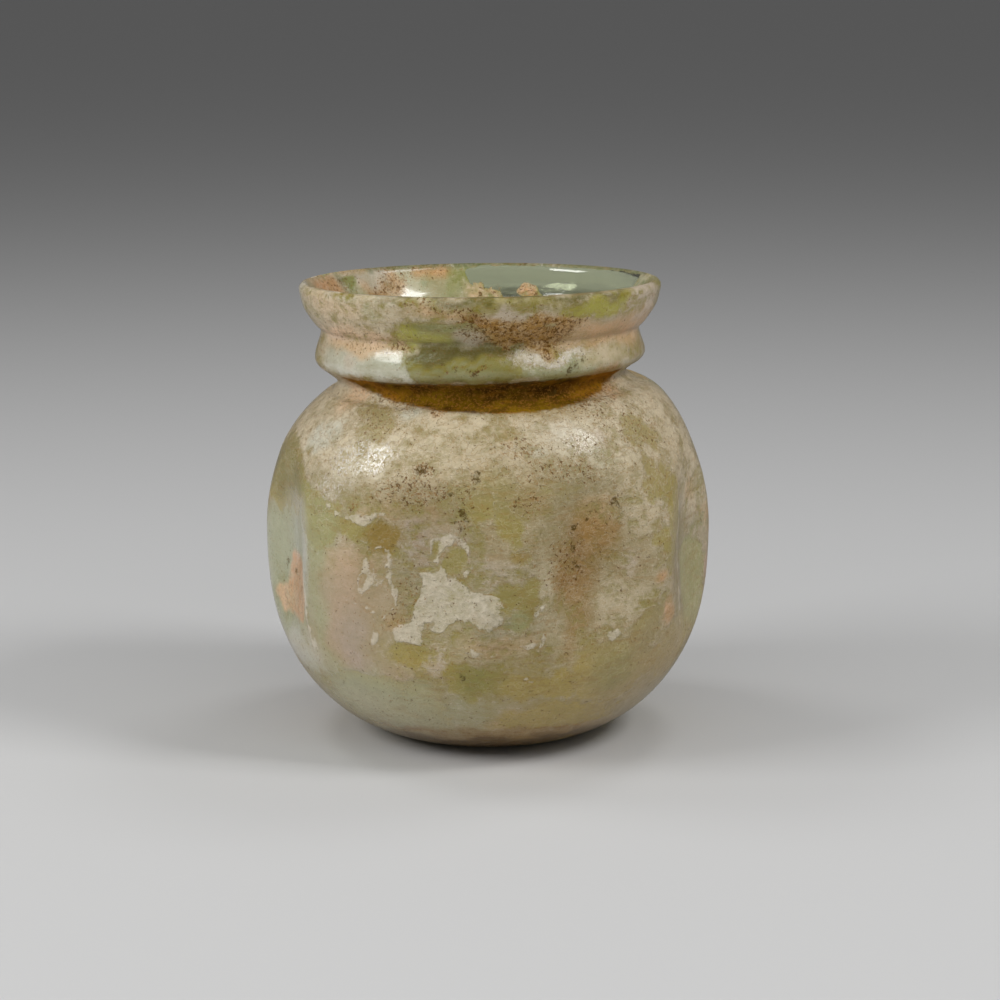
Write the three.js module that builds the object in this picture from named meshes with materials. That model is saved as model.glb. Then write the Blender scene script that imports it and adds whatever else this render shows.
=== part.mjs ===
// An ancient blown glass jar: a round body pressed in by eight finger-wide dents, a short
// narrow neck, a folded collar and a flaring mouth with a fire-rounded lip.
// One closed hollow solid, in millimetres, +Z up, standing on its base ring at z = 0.
// The front of the jar faces -Y.
import * as THREE from "three";

// Base
const BASE_RING_RADIUS = 14.5; // outer edge of the flat ring that the jar stands on
const BASE_RING_WIDTH = 3;
const KICK_HEIGHT = 2.4; // how far the middle of the base is pushed up
const BASE_WALL = 2.8;

// Body
const BODY_RADIUS = 37.2; // at the widest level, on the ridges between the dents
const BODY_WIDEST_HEIGHT = 34;
const BODY_HEIGHT = 58; // where the shoulder meets the neck
const BODY_WALL = 1.8;

// Neck, collar, flare and lip, each standing on the one before
const NECK_RADIUS = 24; // outside, at the narrowest level
const NECK_HEIGHT = 3;
const NECK_WALL = 2.3;
const NECK_FILLET = 1.6; // how far the neck spreads where it meets the shoulder
const COLLAR_RADIUS = 27.4;
const COLLAR_HEIGHT = 6.3;
const WAIST_RADIUS = 26.4; // the crease between the collar and the flare
const LIP_RADIUS = 30;
const FLARE_HEIGHT = 8.2;
const LIP_THICKNESS = 2.1;

// Dents, pressed in by hand and so a little uneven, as bearings from the front in degrees
const DENT_BEARINGS = [-69, -17, 29, 71, 112, 157, 205, 249];
const DENT_WIDTH = 25; // measured round the body
const DENT_LENGTH = 33; // measured up the body
const DENT_LEVEL = 33;
const DENT_DEPTH = 3.2;

// The mouth sits a little crooked on the body
const MOUTH_SHIFT = -1.3; // sideways
const MOUTH_LEAN = 2; // degrees, with the front raised
const NECK_SLANT = 2; // degrees, with the right side raised
const LIP_SLANT = 0.6; // degrees, with the right side raised

// Roundness of the body's outline under and over its widest level: the two powers of each
// rounded quarter curve, where 2 and 2 make a plain ellipse
const LOWER_ROUNDNESS = [2.45, 1.72];
const SHOULDER_ROUNDNESS = [1.8, 2.02];

// Fineness of the mesh
const SEGMENTS = 72;
const LOWER_RINGS = 11;
const SHOULDER_RINGS = 9;
const NECK_RINGS = 15;
const LIP_RINGS = 5;
const INNER_BODY_RINGS = 7;
const INNER_NECK_RINGS = 7;

const COLLAR_BASE = BODY_HEIGHT + NECK_HEIGHT;
const WAIST_HEIGHT = COLLAR_BASE + COLLAR_HEIGHT;
const TOP_HEIGHT = WAIST_HEIGHT + FLARE_HEIGHT;

const { degToRad, radToDeg, lerp, smoothstep, euclideanModulo } = THREE.MathUtils;
const point = (radius, height) => new THREE.Vector2(radius, height);

// A rounded quarter curve from its wide end to its narrow end, in so many rings.
function quarter(wide, narrow, roundness, rings) {
  const [first, second] = roundness;
  return Array.from({ length: rings + 1 }, (_, ring) => {
    const rise = Math.sin((ring / rings) * (Math.PI / 2));
    const share = (1 - rise ** first) ** (1 / second);
    return point(lerp(narrow.x, wide.x, share), lerp(wide.y, narrow.y, rise));
  });
}

// The underside: a shallow pushed-up middle inside the flat ring.
function baseOutside() {
  const inner = BASE_RING_RADIUS - BASE_RING_WIDTH;
  return [
    point(0, KICK_HEIGHT),
    point(0.5 * inner, 0.75 * KICK_HEIGHT),
    point(0.85 * inner, 0.28 * KICK_HEIGHT),
    point(inner, 0),
  ];
}

// The narrow end of the shoulder's curve, which runs on a little way behind the neck.
function shoulderEnd() {
  return point(NECK_RADIUS - NECK_FILLET, BODY_HEIGHT + 0.3 * NECK_HEIGHT);
}

// The body's outside, from the base ring up to the foot of the neck.
function bodyOutside() {
  const widest = point(BODY_RADIUS, BODY_WIDEST_HEIGHT);
  const ringEdge = point(BASE_RING_RADIUS, 0);
  const lower = quarter(widest, ringEdge, LOWER_ROUNDNESS, LOWER_RINGS).reverse();
  const shoulder = quarter(widest, shoulderEnd(), SHOULDER_ROUNDNESS, SHOULDER_RINGS)
    .slice(1)
    .filter((p) => p.y < BODY_HEIGHT);
  return [...lower, ...shoulder];
}

// The outside from the foot of the neck to the lip: groove, collar, crease and flare.
function neckOutside() {
  const bulge = COLLAR_RADIUS - NECK_RADIUS;
  const opening = LIP_RADIUS - WAIST_RADIUS;
  const flareReach = FLARE_HEIGHT - LIP_THICKNESS / 2;
  const flare = [0.15, 0.32, 0.6].map((climb) =>
    point(
      WAIST_RADIUS + opening * Math.sin((climb * Math.PI) / 2),
      WAIST_HEIGHT + climb * flareReach,
    ),
  );
  const curve = new THREE.SplineCurve([
    point(NECK_RADIUS + NECK_FILLET, BODY_HEIGHT),
    point(NECK_RADIUS, BODY_HEIGHT + 0.55 * NECK_HEIGHT),
    point(NECK_RADIUS + 0.4 * bulge, COLLAR_BASE),
    point(NECK_RADIUS + 0.9 * bulge, COLLAR_BASE + 0.2 * COLLAR_HEIGHT),
    point(COLLAR_RADIUS, COLLAR_BASE + 0.45 * COLLAR_HEIGHT),
    point(WAIST_RADIUS, WAIST_HEIGHT),
    ...flare,
    lipPoint(0),
  ]);
  return curve.getPoints(NECK_RINGS).slice(0, -1);
}

// A point of the lip's round section, from outermost (at 0) over the top to innermost (at 180).
function lipPoint(degrees) {
  const half = LIP_THICKNESS / 2;
  return point(
    LIP_RADIUS - half + half * Math.cos(degToRad(degrees)),
    TOP_HEIGHT - half + half * Math.sin(degToRad(degrees)),
  );
}

function lip() {
  return Array.from({ length: LIP_RINGS + 1 }, (_, ring) =>
    lipPoint((180 * ring) / LIP_RINGS),
  );
}

// The inside from the lip down to the foot of the neck. The collar shows here as a soft swell.
function neckInside() {
  const curve = new THREE.SplineCurve([
    lipPoint(180),
    point(WAIST_RADIUS - 0.8 * NECK_WALL, WAIST_HEIGHT + 0.25 * FLARE_HEIGHT),
    point(WAIST_RADIUS - NECK_WALL, WAIST_HEIGHT - 0.2 * COLLAR_HEIGHT),
    point(COLLAR_RADIUS - 1.4 * NECK_WALL, COLLAR_BASE + 0.35 * COLLAR_HEIGHT),
    point(NECK_RADIUS - NECK_WALL, BODY_HEIGHT + 0.45 * NECK_HEIGHT),
    point(NECK_RADIUS - 0.7 * NECK_WALL, BODY_HEIGHT - 0.8 * BODY_WALL),
  ]);
  return curve.getPoints(INNER_NECK_RINGS).slice(1);
}

// The body's inside, from under the shoulder down to the middle of the floor.
function bodyInside() {
  const widest = point(BODY_RADIUS - BODY_WALL, BODY_WIDEST_HEIGHT);
  const end = shoulderEnd();
  const top = point(end.x, end.y - BODY_WALL);
  const floorEdge = point(BASE_RING_RADIUS - 0.5 * BODY_WALL, BASE_WALL);
  const shoulder = quarter(widest, top, SHOULDER_ROUNDNESS, INNER_BODY_RINGS)
    .filter((p) => p.x > NECK_RADIUS)
    .reverse();
  const lower = quarter(widest, floorEdge, LOWER_ROUNDNESS, INNER_BODY_RINGS).slice(1);
  return [
    ...shoulder,
    ...lower,
    point(0.5 * floorEdge.x, BASE_WALL + 0.75 * KICK_HEIGHT),
    point(0, BASE_WALL + KICK_HEIGHT),
  ];
}

// How deep the dents reach at a bearing and height: each is a soft oval hollow.
function dentDepth(bearing, height) {
  const halfWidth = radToDeg(DENT_WIDTH / 2 / BODY_RADIUS);
  const depths = DENT_BEARINGS.map((centre) => {
    const across = euclideanModulo(bearing - centre + 180, 360) - 180;
    const reach = Math.hypot(across / halfWidth, (height - DENT_LEVEL) / (DENT_LENGTH / 2));
    return reach < 1 ? DENT_DEPTH * (1 - reach ** 2) ** 1.5 : 0;
  });
  return Math.max(...depths);
}

// Moves a point of the turned shape to where the maker's hand left it.
function shapeByHand(p) {
  const bearing = Math.atan2(p.x, -p.y);
  const depth = dentDepth(radToDeg(bearing), p.z);
  const aboveShoulder = smoothstep(p.z, BODY_HEIGHT - BODY_WALL, COLLAR_BASE);
  const aboveBody = smoothstep(p.z, lerp(BODY_WIDEST_HEIGHT, BODY_HEIGHT, 0.5), BODY_HEIGHT);
  const slant = lerp(NECK_SLANT, LIP_SLANT, smoothstep(p.z, BODY_HEIGHT, WAIST_HEIGHT));
  const leaned = -p.y * Math.tan(degToRad(MOUTH_LEAN)) * aboveShoulder;
  const slanted = p.x * Math.tan(degToRad(slant)) * aboveBody;
  return p.set(
    p.x - depth * Math.sin(bearing) + MOUTH_SHIFT * aboveShoulder,
    p.y + depth * Math.cos(bearing),
    p.z + leaned + slanted,
  );
}

function jarGeometry() {
  const profile = [
    ...baseOutside(),
    ...bodyOutside(),
    ...neckOutside(),
    ...lip(),
    ...neckInside(),
    ...bodyInside(),
  ];
  const geometry = new THREE.LatheGeometry(profile, SEGMENTS);
  geometry.rotateX(Math.PI / 2);
  const places = geometry.getAttribute("position");
  const p = new THREE.Vector3();
  for (let i = 0; i < places.count; i += 1) {
    shapeByHand(p.fromBufferAttribute(places, i));
    places.setXYZ(i, p.x, p.y, p.z);
  }
  geometry.computeVertexNormals();
  return geometry;
}

const weatheredGlass = new THREE.MeshStandardMaterial({
  color: new THREE.Color(0.62, 0.58, 0.42),
  roughness: 0.38,
  metalness: 0,
  transparent: true,
  opacity: 0.9,
});

const jar = new THREE.Mesh(jarGeometry(), weatheredGlass);
jar.name = "jar";

const part = new THREE.Group();
part.add(jar);

export default part;
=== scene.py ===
"""An ancient blown glass jar with dented sides, under the skin that long burial gave it.

The glass is one closed surface, worked out with numpy on a grid of bearing round the axis and
distance along the jar's outline. Where the crust, the stains and the bare windows of glass lie is
held as point values on that surface, and the material turns them into colour, gloss and relief.
Lengths in the classes are in millimetres, and bearings are in degrees from the front (-Y),
growing towards +X.
"""

import logging
import math
from dataclasses import dataclass, replace
from enum import Enum
from typing import Iterable, Mapping, Sequence

import bpy
import numpy as np
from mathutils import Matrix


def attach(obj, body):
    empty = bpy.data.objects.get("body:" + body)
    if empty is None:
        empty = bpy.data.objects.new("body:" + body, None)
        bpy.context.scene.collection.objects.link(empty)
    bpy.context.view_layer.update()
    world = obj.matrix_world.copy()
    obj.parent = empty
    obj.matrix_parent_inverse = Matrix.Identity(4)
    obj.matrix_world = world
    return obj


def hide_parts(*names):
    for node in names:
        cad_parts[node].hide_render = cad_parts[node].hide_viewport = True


LOG = logging.getLogger("jar")
METRE = 0.001  # a millimetre in metres
BODY = "root"
NODE = "jar"

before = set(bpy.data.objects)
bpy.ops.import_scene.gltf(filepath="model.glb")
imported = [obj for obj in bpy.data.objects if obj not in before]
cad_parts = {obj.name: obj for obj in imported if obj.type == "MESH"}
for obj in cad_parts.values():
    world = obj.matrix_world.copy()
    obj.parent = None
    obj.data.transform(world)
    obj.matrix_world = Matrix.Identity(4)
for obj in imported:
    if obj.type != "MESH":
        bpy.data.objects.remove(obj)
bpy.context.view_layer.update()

Colour = tuple[float, float, float]


def smooth(low: float, high: float, values: np.ndarray) -> np.ndarray:
    """Rises from 0 at low to 1 at high, level at both ends: t * t * (3 - 2 * t)."""
    t = np.clip((values - low) / (high - low), 0.0, 1.0)
    return t * t * (3.0 - 2.0 * t)


def wrapped(degrees: np.ndarray) -> np.ndarray:
    """An angle brought between -180 and 180."""
    return (degrees + 180.0) % 360.0 - 180.0


def linear(red: int, green: int, blue: int) -> Colour:
    """A colour as seen on a screen, 0 to 255, turned into light: ((c + 0.055) / 1.055) ^ 2.4."""
    return tuple(((c / 255.0 + 0.055) / 1.055) ** 2.4 for c in (red, green, blue))


class SpaceNoise:
    """Smooth random values in space: random numbers on a cubic lattice, blended between its corners."""

    SIZE = 4096
    PRIMES = (73856093, 19349663, 83492791)
    FADE = 0.55  # each finer layer's strength over the last
    STEP = 17.3  # how far each layer is moved from the last, in mm

    def __init__(self, seed: int) -> None:
        """Draws the lattice's random numbers.

        Args:
            seed: the number that fixes them.
        """
        self.table = np.random.default_rng(seed).uniform(-1.0, 1.0, self.SIZE)

    def plain(self, points: np.ndarray, size: float) -> np.ndarray:
        """One layer of noise.

        Args:
            points: places, in mm, one to a row.
            size: the lattice's pitch, in mm.

        Returns:
            A value from -1 to 1 for each place: the eight corners' numbers, weighted by the
            product of t * t * (3 - 2 * t) along each axis.
        """
        scaled = points / size
        low = np.floor(scaled).astype(np.int64)
        share = smooth(0.0, 1.0, scaled - low)
        total = np.zeros(len(points))
        for corner in np.ndindex(2, 2, 2):
            weight = np.ones(len(points))
            key = np.zeros(len(points), dtype=np.int64)
            for axis, step in enumerate(corner):
                weight *= share[:, axis] if step else 1.0 - share[:, axis]
                key ^= (low[:, axis] + step) * self.PRIMES[axis]
            total += weight * self.table[key % self.SIZE]
        return total

    def layered(self, points: np.ndarray, size: float, layers: int) -> np.ndarray:
        """Noise of several sizes, each layer half as large as the last and weaker.

        Args:
            points: places, in mm, one to a row.
            size: the pitch of the coarsest layer, in mm.
            layers: how many layers there are.

        Returns:
            The layers' sum over the sum of their strengths, for each place.
        """
        strengths = self.FADE ** np.arange(layers)
        parts = [
            strength * self.plain(points + self.STEP * layer, size / 2**layer)
            for layer, strength in enumerate(strengths)
        ]
        return np.sum(parts, axis=0) / strengths.sum()


class Tone(Enum):
    """The colours that the jar wears, as light."""

    HAZE = linear(178, 163, 131)  # the thin film that covers most of the body
    CREAM = linear(215, 198, 166)
    PEACH = linear(244, 204, 164)
    BUFF = linear(172, 152, 112)
    WHITE = linear(236, 224, 202)
    # Painted highlight and glint colour
    SILVER = linear(244, 238, 230)
    PEARL = linear(212, 194, 176)
    ROSE = linear(196, 162, 136)
    LILAC = linear(188, 168, 156)
    RUST = linear(224, 160, 104)
    OCHRE = linear(192, 142, 62)
    TAN = linear(222, 184, 138)
    STAIN = linear(160, 120, 58)
    SOIL = linear(146, 100, 40)
    # Dark brown of the grit, also used for the painted contact shadow at the foot
    GRAIN_AND_SHADOW = linear(100, 66, 22)
    MOSS_GRAIN = linear(84, 66, 26)
    ICE = linear(216, 216, 200)
    MIST = linear(173, 175, 138)
    SAGE = linear(168, 170, 126)
    OLIVE = linear(166, 150, 84)
    # Painted glow: the glass low on the body, made paler and yellower for light passing through it
    STRAW_GLOW = linear(190, 164, 88)  # the glass low on the body
    MOSS = linear(138, 140, 70)
    HONEY = linear(156, 128, 58)
    LIME = linear(190, 182, 70)
    DEEP_OLIVE = linear(104, 92, 16)
    DARK_SAGE = linear(92, 98, 58)
    BOTTLE = linear(154, 140, 46)  # the glass of the rim and collar
    AMBER = linear(136, 104, 14)
    ORANGE_AMBER = linear(172, 112, 24)
    DARK_AMBER = linear(72, 46, 6)


class Relief(Enum):
    """The layers that have a crisp edge, each kept as a depth inside its edge in mm."""

    WINDOW = "window"  # where the film is gone and the tinted glass shows
    FLAKE = "flake"  # thick pale flakes
    BARE = "bare"  # where the glass is bare and lets light through
    DEPOSIT = "deposit"  # the dark deposit in the neck's groove
    BLOT = "blot"  # single dark specks large enough to have a shape


class Amount(Enum):
    """What varies softly over the glass, each from 0 to 1."""

    GRIT = "grit"  # how many dark grains there are
    CRUST = "crust"  # how much pale, grainy crust there is
    GLOSS = "gloss"  # how glassy the film is
    # Silver also sets where the painted glint specks go, beside the smoother, coated film
    SILVER = "silver"  # how finely flaked and bright it is
    CLEAR = "clear"  # how clear the bare glass is


class Paint(Enum):
    """The layers that carry a colour."""

    FILM = "film"
    GROUND = "ground"  # the tinted glass under the film


@dataclass(frozen=True)
class Site:
    """Places on the jar's surface, as the weathering sees them."""

    points: np.ndarray  # in mm, one to a row
    bearing: np.ndarray
    height: np.ndarray
    radius: np.ndarray
    straight: np.ndarray  # heights before the maker's hand moved the mouth

    WANDER = 2.6  # how far the outlines of patches wander, in mm
    WANDER_SIZE = 5.0
    WANDER_LAYERS = 3
    WANDER_SEEDS = (71, 72)  # round the jar and up it

    @classmethod
    def of(cls, points: np.ndarray, straight: np.ndarray) -> "Site":
        """Makes the site of some points.

        Args:
            points: places in mm, one to a row.
            straight: their heights on the straight jar.

        Returns:
            The site, with bearing and height displaced by noise so that outlines are uneven.
        """
        x, y, z = points.T
        radius = np.maximum(np.hypot(x, y), 1.0)
        around, up = (
            SpaceNoise(seed).layered(points, cls.WANDER_SIZE, cls.WANDER_LAYERS) * cls.WANDER
            for seed in cls.WANDER_SEEDS
        )
        bearing = np.degrees(np.arctan2(x, -y) + around / radius)
        return cls(points, wrapped(bearing), z + up, radius, straight)

    def calm(self) -> "Site":
        """The same places with nothing displaced, for outlines that run true."""
        x, y, z = self.points.T
        return replace(self, bearing=np.degrees(np.arctan2(x, -y)), height=z)


class Region:
    """A part of the surface."""

    def inwards(self, site: Site) -> np.ndarray:
        """Roughly how far inside the region each place is, in mm, negative outside."""
        raise NotImplementedError


@dataclass(frozen=True)
class Patch(Region):
    """A rounded oval or, with a high power, a rounded oblong."""

    bearing: float
    height: float
    half_width: float  # degrees round the jar
    half_height: float
    lean: float = 0.0  # degrees, turning its right end up
    power: float = 2.0
    ring: float = 0.0  # half the thickness of a ring along the outline, or 0 for a full patch

    def inwards(self, site: Site) -> np.ndarray:
        """How far inside the patch places are.

        Args:
            site: the places.

        Returns:
            (1 - (|along|^p + |across|^p)^(1/p)) times the smaller half size, in mm.
        """
        turned = math.radians(self.lean)
        mm_per_degree = np.radians(site.radius)
        around = wrapped(site.bearing - self.bearing) * mm_per_degree
        up = site.height - self.height
        half = self.half_width * mm_per_degree
        along = np.abs(around * math.cos(turned) + up * math.sin(turned)) / half
        across = np.abs(up * math.cos(turned) - around * math.sin(turned)) / self.half_height
        reach = (along**self.power + across**self.power) ** (1.0 / self.power)
        least = np.minimum(half, self.half_height)
        if self.ring:
            return self.ring - np.abs(reach - 1.0) * least
        return (1.0 - reach) * least


@dataclass(frozen=True)
class Band(Region):
    """A patch with a true edge, kept between two levels of the straight jar."""

    patch: Patch
    low: float
    high: float

    def inwards(self, site: Site) -> np.ndarray:
        """The least of the patch's depth and the distances to both levels."""
        inside = np.minimum(site.straight - self.low, self.high - site.straight)
        return np.minimum(self.patch.inwards(site.calm()), inside)


@dataclass(frozen=True)
class Cut(Region):
    """A region less the holes in it."""

    whole: Region
    holes: tuple[Region, ...]

    def inwards(self, site: Site) -> np.ndarray:
        """The least of the whole region's depth and the distances to its holes."""
        return np.min([self.whole.inwards(site), *(-hole.inwards(site) for hole in self.holes)], axis=0)


@dataclass(frozen=True)
class Scatter(Region):
    """Patches strewn by chance over the sides that the photographed side leaves open."""

    size: float
    share: float  # roughly how much of the surface they cover
    seed: int
    low: float = -20.0
    high: float = 100.0
    everywhere: bool = False

    OUTSIDE = -8.0  # the depth given well outside them, in mm
    SIDE = (74.0, 94.0)  # bearings between which the strewn patches set in
    LAYERS = 4
    STEEPNESS = 1.5  # how fast the depth grows from a patch's edge

    def inwards(self, site: Site) -> np.ndarray:
        """How far inside the strewn patches places are.

        Args:
            site: the places.

        Returns:
            Layered noise over the level that leaves the wanted share, made mm by the patches' size,
            and cut off at the low and high levels.
        """
        chance = SpaceNoise(self.seed).layered(site.points, self.size, self.LAYERS)
        level = np.quantile(chance, 1.0 - self.share)
        depth = (chance - level) * self.size * self.STEEPNESS
        depth = np.minimum(depth, np.minimum(site.height - self.low, self.high - site.height))
        if self.everywhere:
            return depth
        away = smooth(*self.SIDE, np.abs(site.bearing))
        return self.OUTSIDE + (np.clip(depth, self.OUTSIDE, None) - self.OUTSIDE) * away


@dataclass(frozen=True)
class Wash:
    """Colour or an amount laid over a region, thinning out across its soft edge."""

    region: Region
    strength: float = 0.8
    soft: float = 1.0
    tone: Tone = Tone.HAZE

    def cover(self, site: Site) -> np.ndarray:
        """How much of the wash each place gets, from 0 to the strength."""
        return self.strength * smooth(-self.soft, self.soft, self.region.inwards(site))


def tint(tone: Tone, region: Region, strength: float = 0.8, soft: float = 1.0) -> Wash:
    """A wash of one colour."""
    return Wash(region, strength, soft, tone)


@dataclass(frozen=True)
class JarShape:
    """The jar's outline, walls, dents and hand-made unevenness, in mm and degrees."""

    base_ring_radius: float = 14.5
    base_ring_width: float = 3.0
    kick_height: float = 2.4
    base_wall: float = 2.8
    body_radius: float = 37.2
    widest_height: float = 34.0
    body_height: float = 58.0
    body_wall: float = 1.8
    neck_radius: float = 24.0
    neck_height: float = 3.0
    neck_wall: float = 2.3
    neck_fillet: float = 1.6
    collar_radius: float = 27.4
    collar_height: float = 6.3
    waist_radius: float = 26.4
    lip_radius: float = 30.0
    flare_height: float = 8.2
    lip_room: float = 0.09  # how far the lip lies under the solid's top
    lip_thickness: float = 2.1
    dent_bearings: tuple[float, ...] = (-69, -17, 29, 71, 112, 157, 205, 249)
    dent_width: float = 25.0
    dent_length: float = 33.0
    dent_level: float = 33.0
    dent_depth: float = 3.2
    mouth_shift: float = -1.3
    mouth_lean: float = 2.0
    neck_slant: float = 2.0
    lip_slant: float = 0.6
    lower_roundness: tuple[float, float] = (2.45, 1.72)
    shoulder_roundness: tuple[float, float] = (1.8, 2.02)

    QUARTER_POINTS = 160
    PIECE_POINTS = 24  # between two points of a smooth curve
    LIP_POINTS = 24

    @property
    def collar_base(self) -> float:
        """The level of the collar's underside."""
        return self.body_height + self.neck_height

    @property
    def waist_height(self) -> float:
        """The level of the crease over the collar."""
        return self.collar_base + self.collar_height

    @property
    def top_height(self) -> float:
        """The level of the lip's top, before the mouth leans."""
        return self.waist_height + self.flare_height

    @classmethod
    def quarter(cls, wide: Sequence[float], narrow: Sequence[float], powers: Sequence[float]) -> np.ndarray:
        """A rounded quarter of an outline.

        Args:
            wide: the widest point, radius and height.
            narrow: the narrow end.
            powers: the two powers a and b.

        Returns:
            Points from wide to narrow. With rise = sin of an even turn, the height runs evenly
            with rise and the radius shrinks as (1 - rise^a)^(1/b).
        """
        rise = np.sin(np.linspace(0.0, math.pi / 2, cls.QUARTER_POINTS))
        share = (1.0 - rise ** powers[0]) ** (1.0 / powers[1])
        radius = narrow[0] + (wide[0] - narrow[0]) * share
        return np.column_stack([radius, wide[1] + (narrow[1] - wide[1]) * rise])

    @classmethod
    def curve_through(cls, points: Sequence[Sequence[float]]) -> np.ndarray:
        """A smooth curve through points, with each tangent half the way between its neighbours.

        Args:
            points: radius and height of each point.

        Returns:
            Points of the cubic pieces (2a - 2b + u + v)t^3 + (3b - 3a - 2u - v)t^2 + ut + a.
        """
        p = np.array([points[0], *points, points[-1]], dtype=float)
        t = np.linspace(0.0, 1.0, cls.PIECE_POINTS, endpoint=False)[:, None]
        pieces = []
        for before, a, b, after in zip(p, p[1:], p[2:], p[3:]):
            u, v = (b - before) / 2, (after - a) / 2
            pieces.append((2 * a - 2 * b + u + v) * t**3 + (3 * b - 3 * a - 2 * u - v) * t**2 + u * t + a)
        return np.vstack([*pieces, p[-1:]])

    def lip_arc(self, start: float, end: float) -> np.ndarray:
        """The lip's round section.

        Args:
            start: where it starts, in degrees from outermost (0) over the top to innermost (180).
            end: where it ends.

        Returns:
            Points on a circle of the lip's thickness.
        """
        half = self.lip_thickness / 2
        turned = np.radians(np.linspace(start, end, self.LIP_POINTS))
        radius = self.lip_radius - half + half * np.cos(turned)
        middle = self.top_height - half - self.lip_room
        return np.column_stack([radius, middle + half * np.sin(turned)])

    def outside(self) -> np.ndarray:
        """The outline from the middle of the underside, up the outside, to the lip's top.

        Returns:
            Radius and height of each point: the pushed-up middle, two rounded quarters for the body,
            a smooth curve for the neck, collar and flare, and half of the lip's arc.
        """
        ring = self.base_ring_radius - self.base_ring_width
        base = self.curve_through(
            [
                (0, self.kick_height),
                (0.5 * ring, 0.75 * self.kick_height),
                (0.85 * ring, 0.28 * self.kick_height),
                (ring, 0),
            ]
        )
        widest = (self.body_radius, self.widest_height)
        foot = (self.base_ring_radius, 0)
        crown = (self.neck_radius - self.neck_fillet, self.body_height + 0.3 * self.neck_height)
        lower = self.quarter(widest, foot, self.lower_roundness)[::-1]
        shoulder = self.quarter(widest, crown, self.shoulder_roundness)[1:]
        shoulder = shoulder[shoulder[:, 1] < self.body_height]
        bulge = self.collar_radius - self.neck_radius
        opening = self.lip_radius - self.waist_radius
        reach = self.flare_height - self.lip_thickness / 2
        flare = [
            (
                self.waist_radius + opening * math.sin(climb * math.pi / 2),
                self.waist_height + climb * reach,
            )
            for climb in (0.15, 0.32, 0.6)
        ]
        neck = self.curve_through(
            [
                (self.neck_radius + self.neck_fillet, self.body_height),
                (self.neck_radius, self.body_height + 0.55 * self.neck_height),
                (self.neck_radius + 0.4 * bulge, self.collar_base),
                (self.neck_radius + 0.9 * bulge, self.collar_base + 0.2 * self.collar_height),
                (self.collar_radius, self.collar_base + 0.45 * self.collar_height),
                (self.waist_radius, self.waist_height),
                *flare,
                tuple(self.lip_arc(0, 0)[0]),
            ]
        )
        return np.vstack([base, lower, shoulder, neck, self.lip_arc(0, 90)[1:]])

    def inside(self) -> np.ndarray:
        """The outline from the lip's top, down the inside, to the middle of the floor.

        Returns:
            Radius and height of each point, each stretch a wall's thickness inside the outline.
        """
        neck = self.curve_through(
            [
                tuple(self.lip_arc(180, 180)[0]),
                (self.waist_radius - 0.8 * self.neck_wall, self.waist_height + 0.25 * self.flare_height),
                (self.waist_radius - self.neck_wall, self.waist_height - 0.2 * self.collar_height),
                (self.collar_radius - 1.4 * self.neck_wall, self.collar_base + 0.35 * self.collar_height),
                (self.neck_radius - self.neck_wall, self.body_height + 0.45 * self.neck_height),
                (self.neck_radius - 0.7 * self.neck_wall, self.body_height - 0.8 * self.body_wall),
            ]
        )
        widest = (self.body_radius - self.body_wall, self.widest_height)
        crown = (
            self.neck_radius - self.neck_fillet,
            self.body_height + 0.3 * self.neck_height - self.body_wall,
        )
        edge = (self.base_ring_radius - 0.5 * self.body_wall, self.base_wall)
        shoulder = self.quarter(widest, crown, self.shoulder_roundness)
        shoulder = shoulder[shoulder[:, 0] > self.neck_radius][::-1]
        lower = self.quarter(widest, edge, self.lower_roundness)[1:]
        floor = self.curve_through(
            [
                edge,
                (0.5 * edge[0], self.base_wall + 0.75 * self.kick_height),
                (0.0, self.base_wall + self.kick_height),
            ]
        )
        return np.vstack([self.lip_arc(90, 180), neck[1:], shoulder, lower, floor[1:]])

    def dented(self, bearing: np.ndarray, height: np.ndarray) -> np.ndarray:
        """How deep the dents are.

        Args:
            bearing: bearings in degrees.
            height: heights in mm.

        Returns:
            The depth in mm: depth * (1 - reach^2)^1.5, where reach is the distance from the dent's
            middle over its half sizes.
        """
        half = math.degrees(self.dent_width / 2 / self.body_radius)
        deepest = np.zeros_like(bearing)
        for centre in self.dent_bearings:
            across = wrapped(bearing - centre) / half
            along = (height - self.dent_level) / (self.dent_length / 2)
            inner = np.clip(1.0 - across**2 - along**2, 0.0, 1.0)
            deepest = np.maximum(deepest, self.dent_depth * inner**1.5)
        return deepest

    def placed(self, radius: np.ndarray, bearing: np.ndarray, height: np.ndarray) -> np.ndarray:
        """Places of points of the turned shape after the maker's hand has moved them.

        Args:
            radius: distances from the axis in mm.
            bearing: bearings in degrees.
            height: heights in mm.

        Returns:
            x, y and z in mm, one point to a row: pushed in by the dents, shifted and leaned over
            towards the mouth, and slanted between the shoulder and the lip.
        """
        turned = np.radians(bearing)
        pressed = radius - self.dented(bearing, height)
        over_shoulder = smooth(self.body_height - self.body_wall, self.collar_base, height)
        half_up = (self.widest_height + self.body_height) / 2
        over_body = smooth(half_up, self.body_height, height)
        fading = smooth(self.body_height, self.waist_height, height)
        slant = self.neck_slant + (self.lip_slant - self.neck_slant) * fading
        x = pressed * np.sin(turned)
        y = -pressed * np.cos(turned)
        lean = -y * math.tan(math.radians(self.mouth_lean)) * over_shoulder
        tilt = x * np.tan(np.radians(slant)) * over_body
        return np.column_stack([x + self.mouth_shift * over_shoulder, y, height + lean + tilt])


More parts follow.
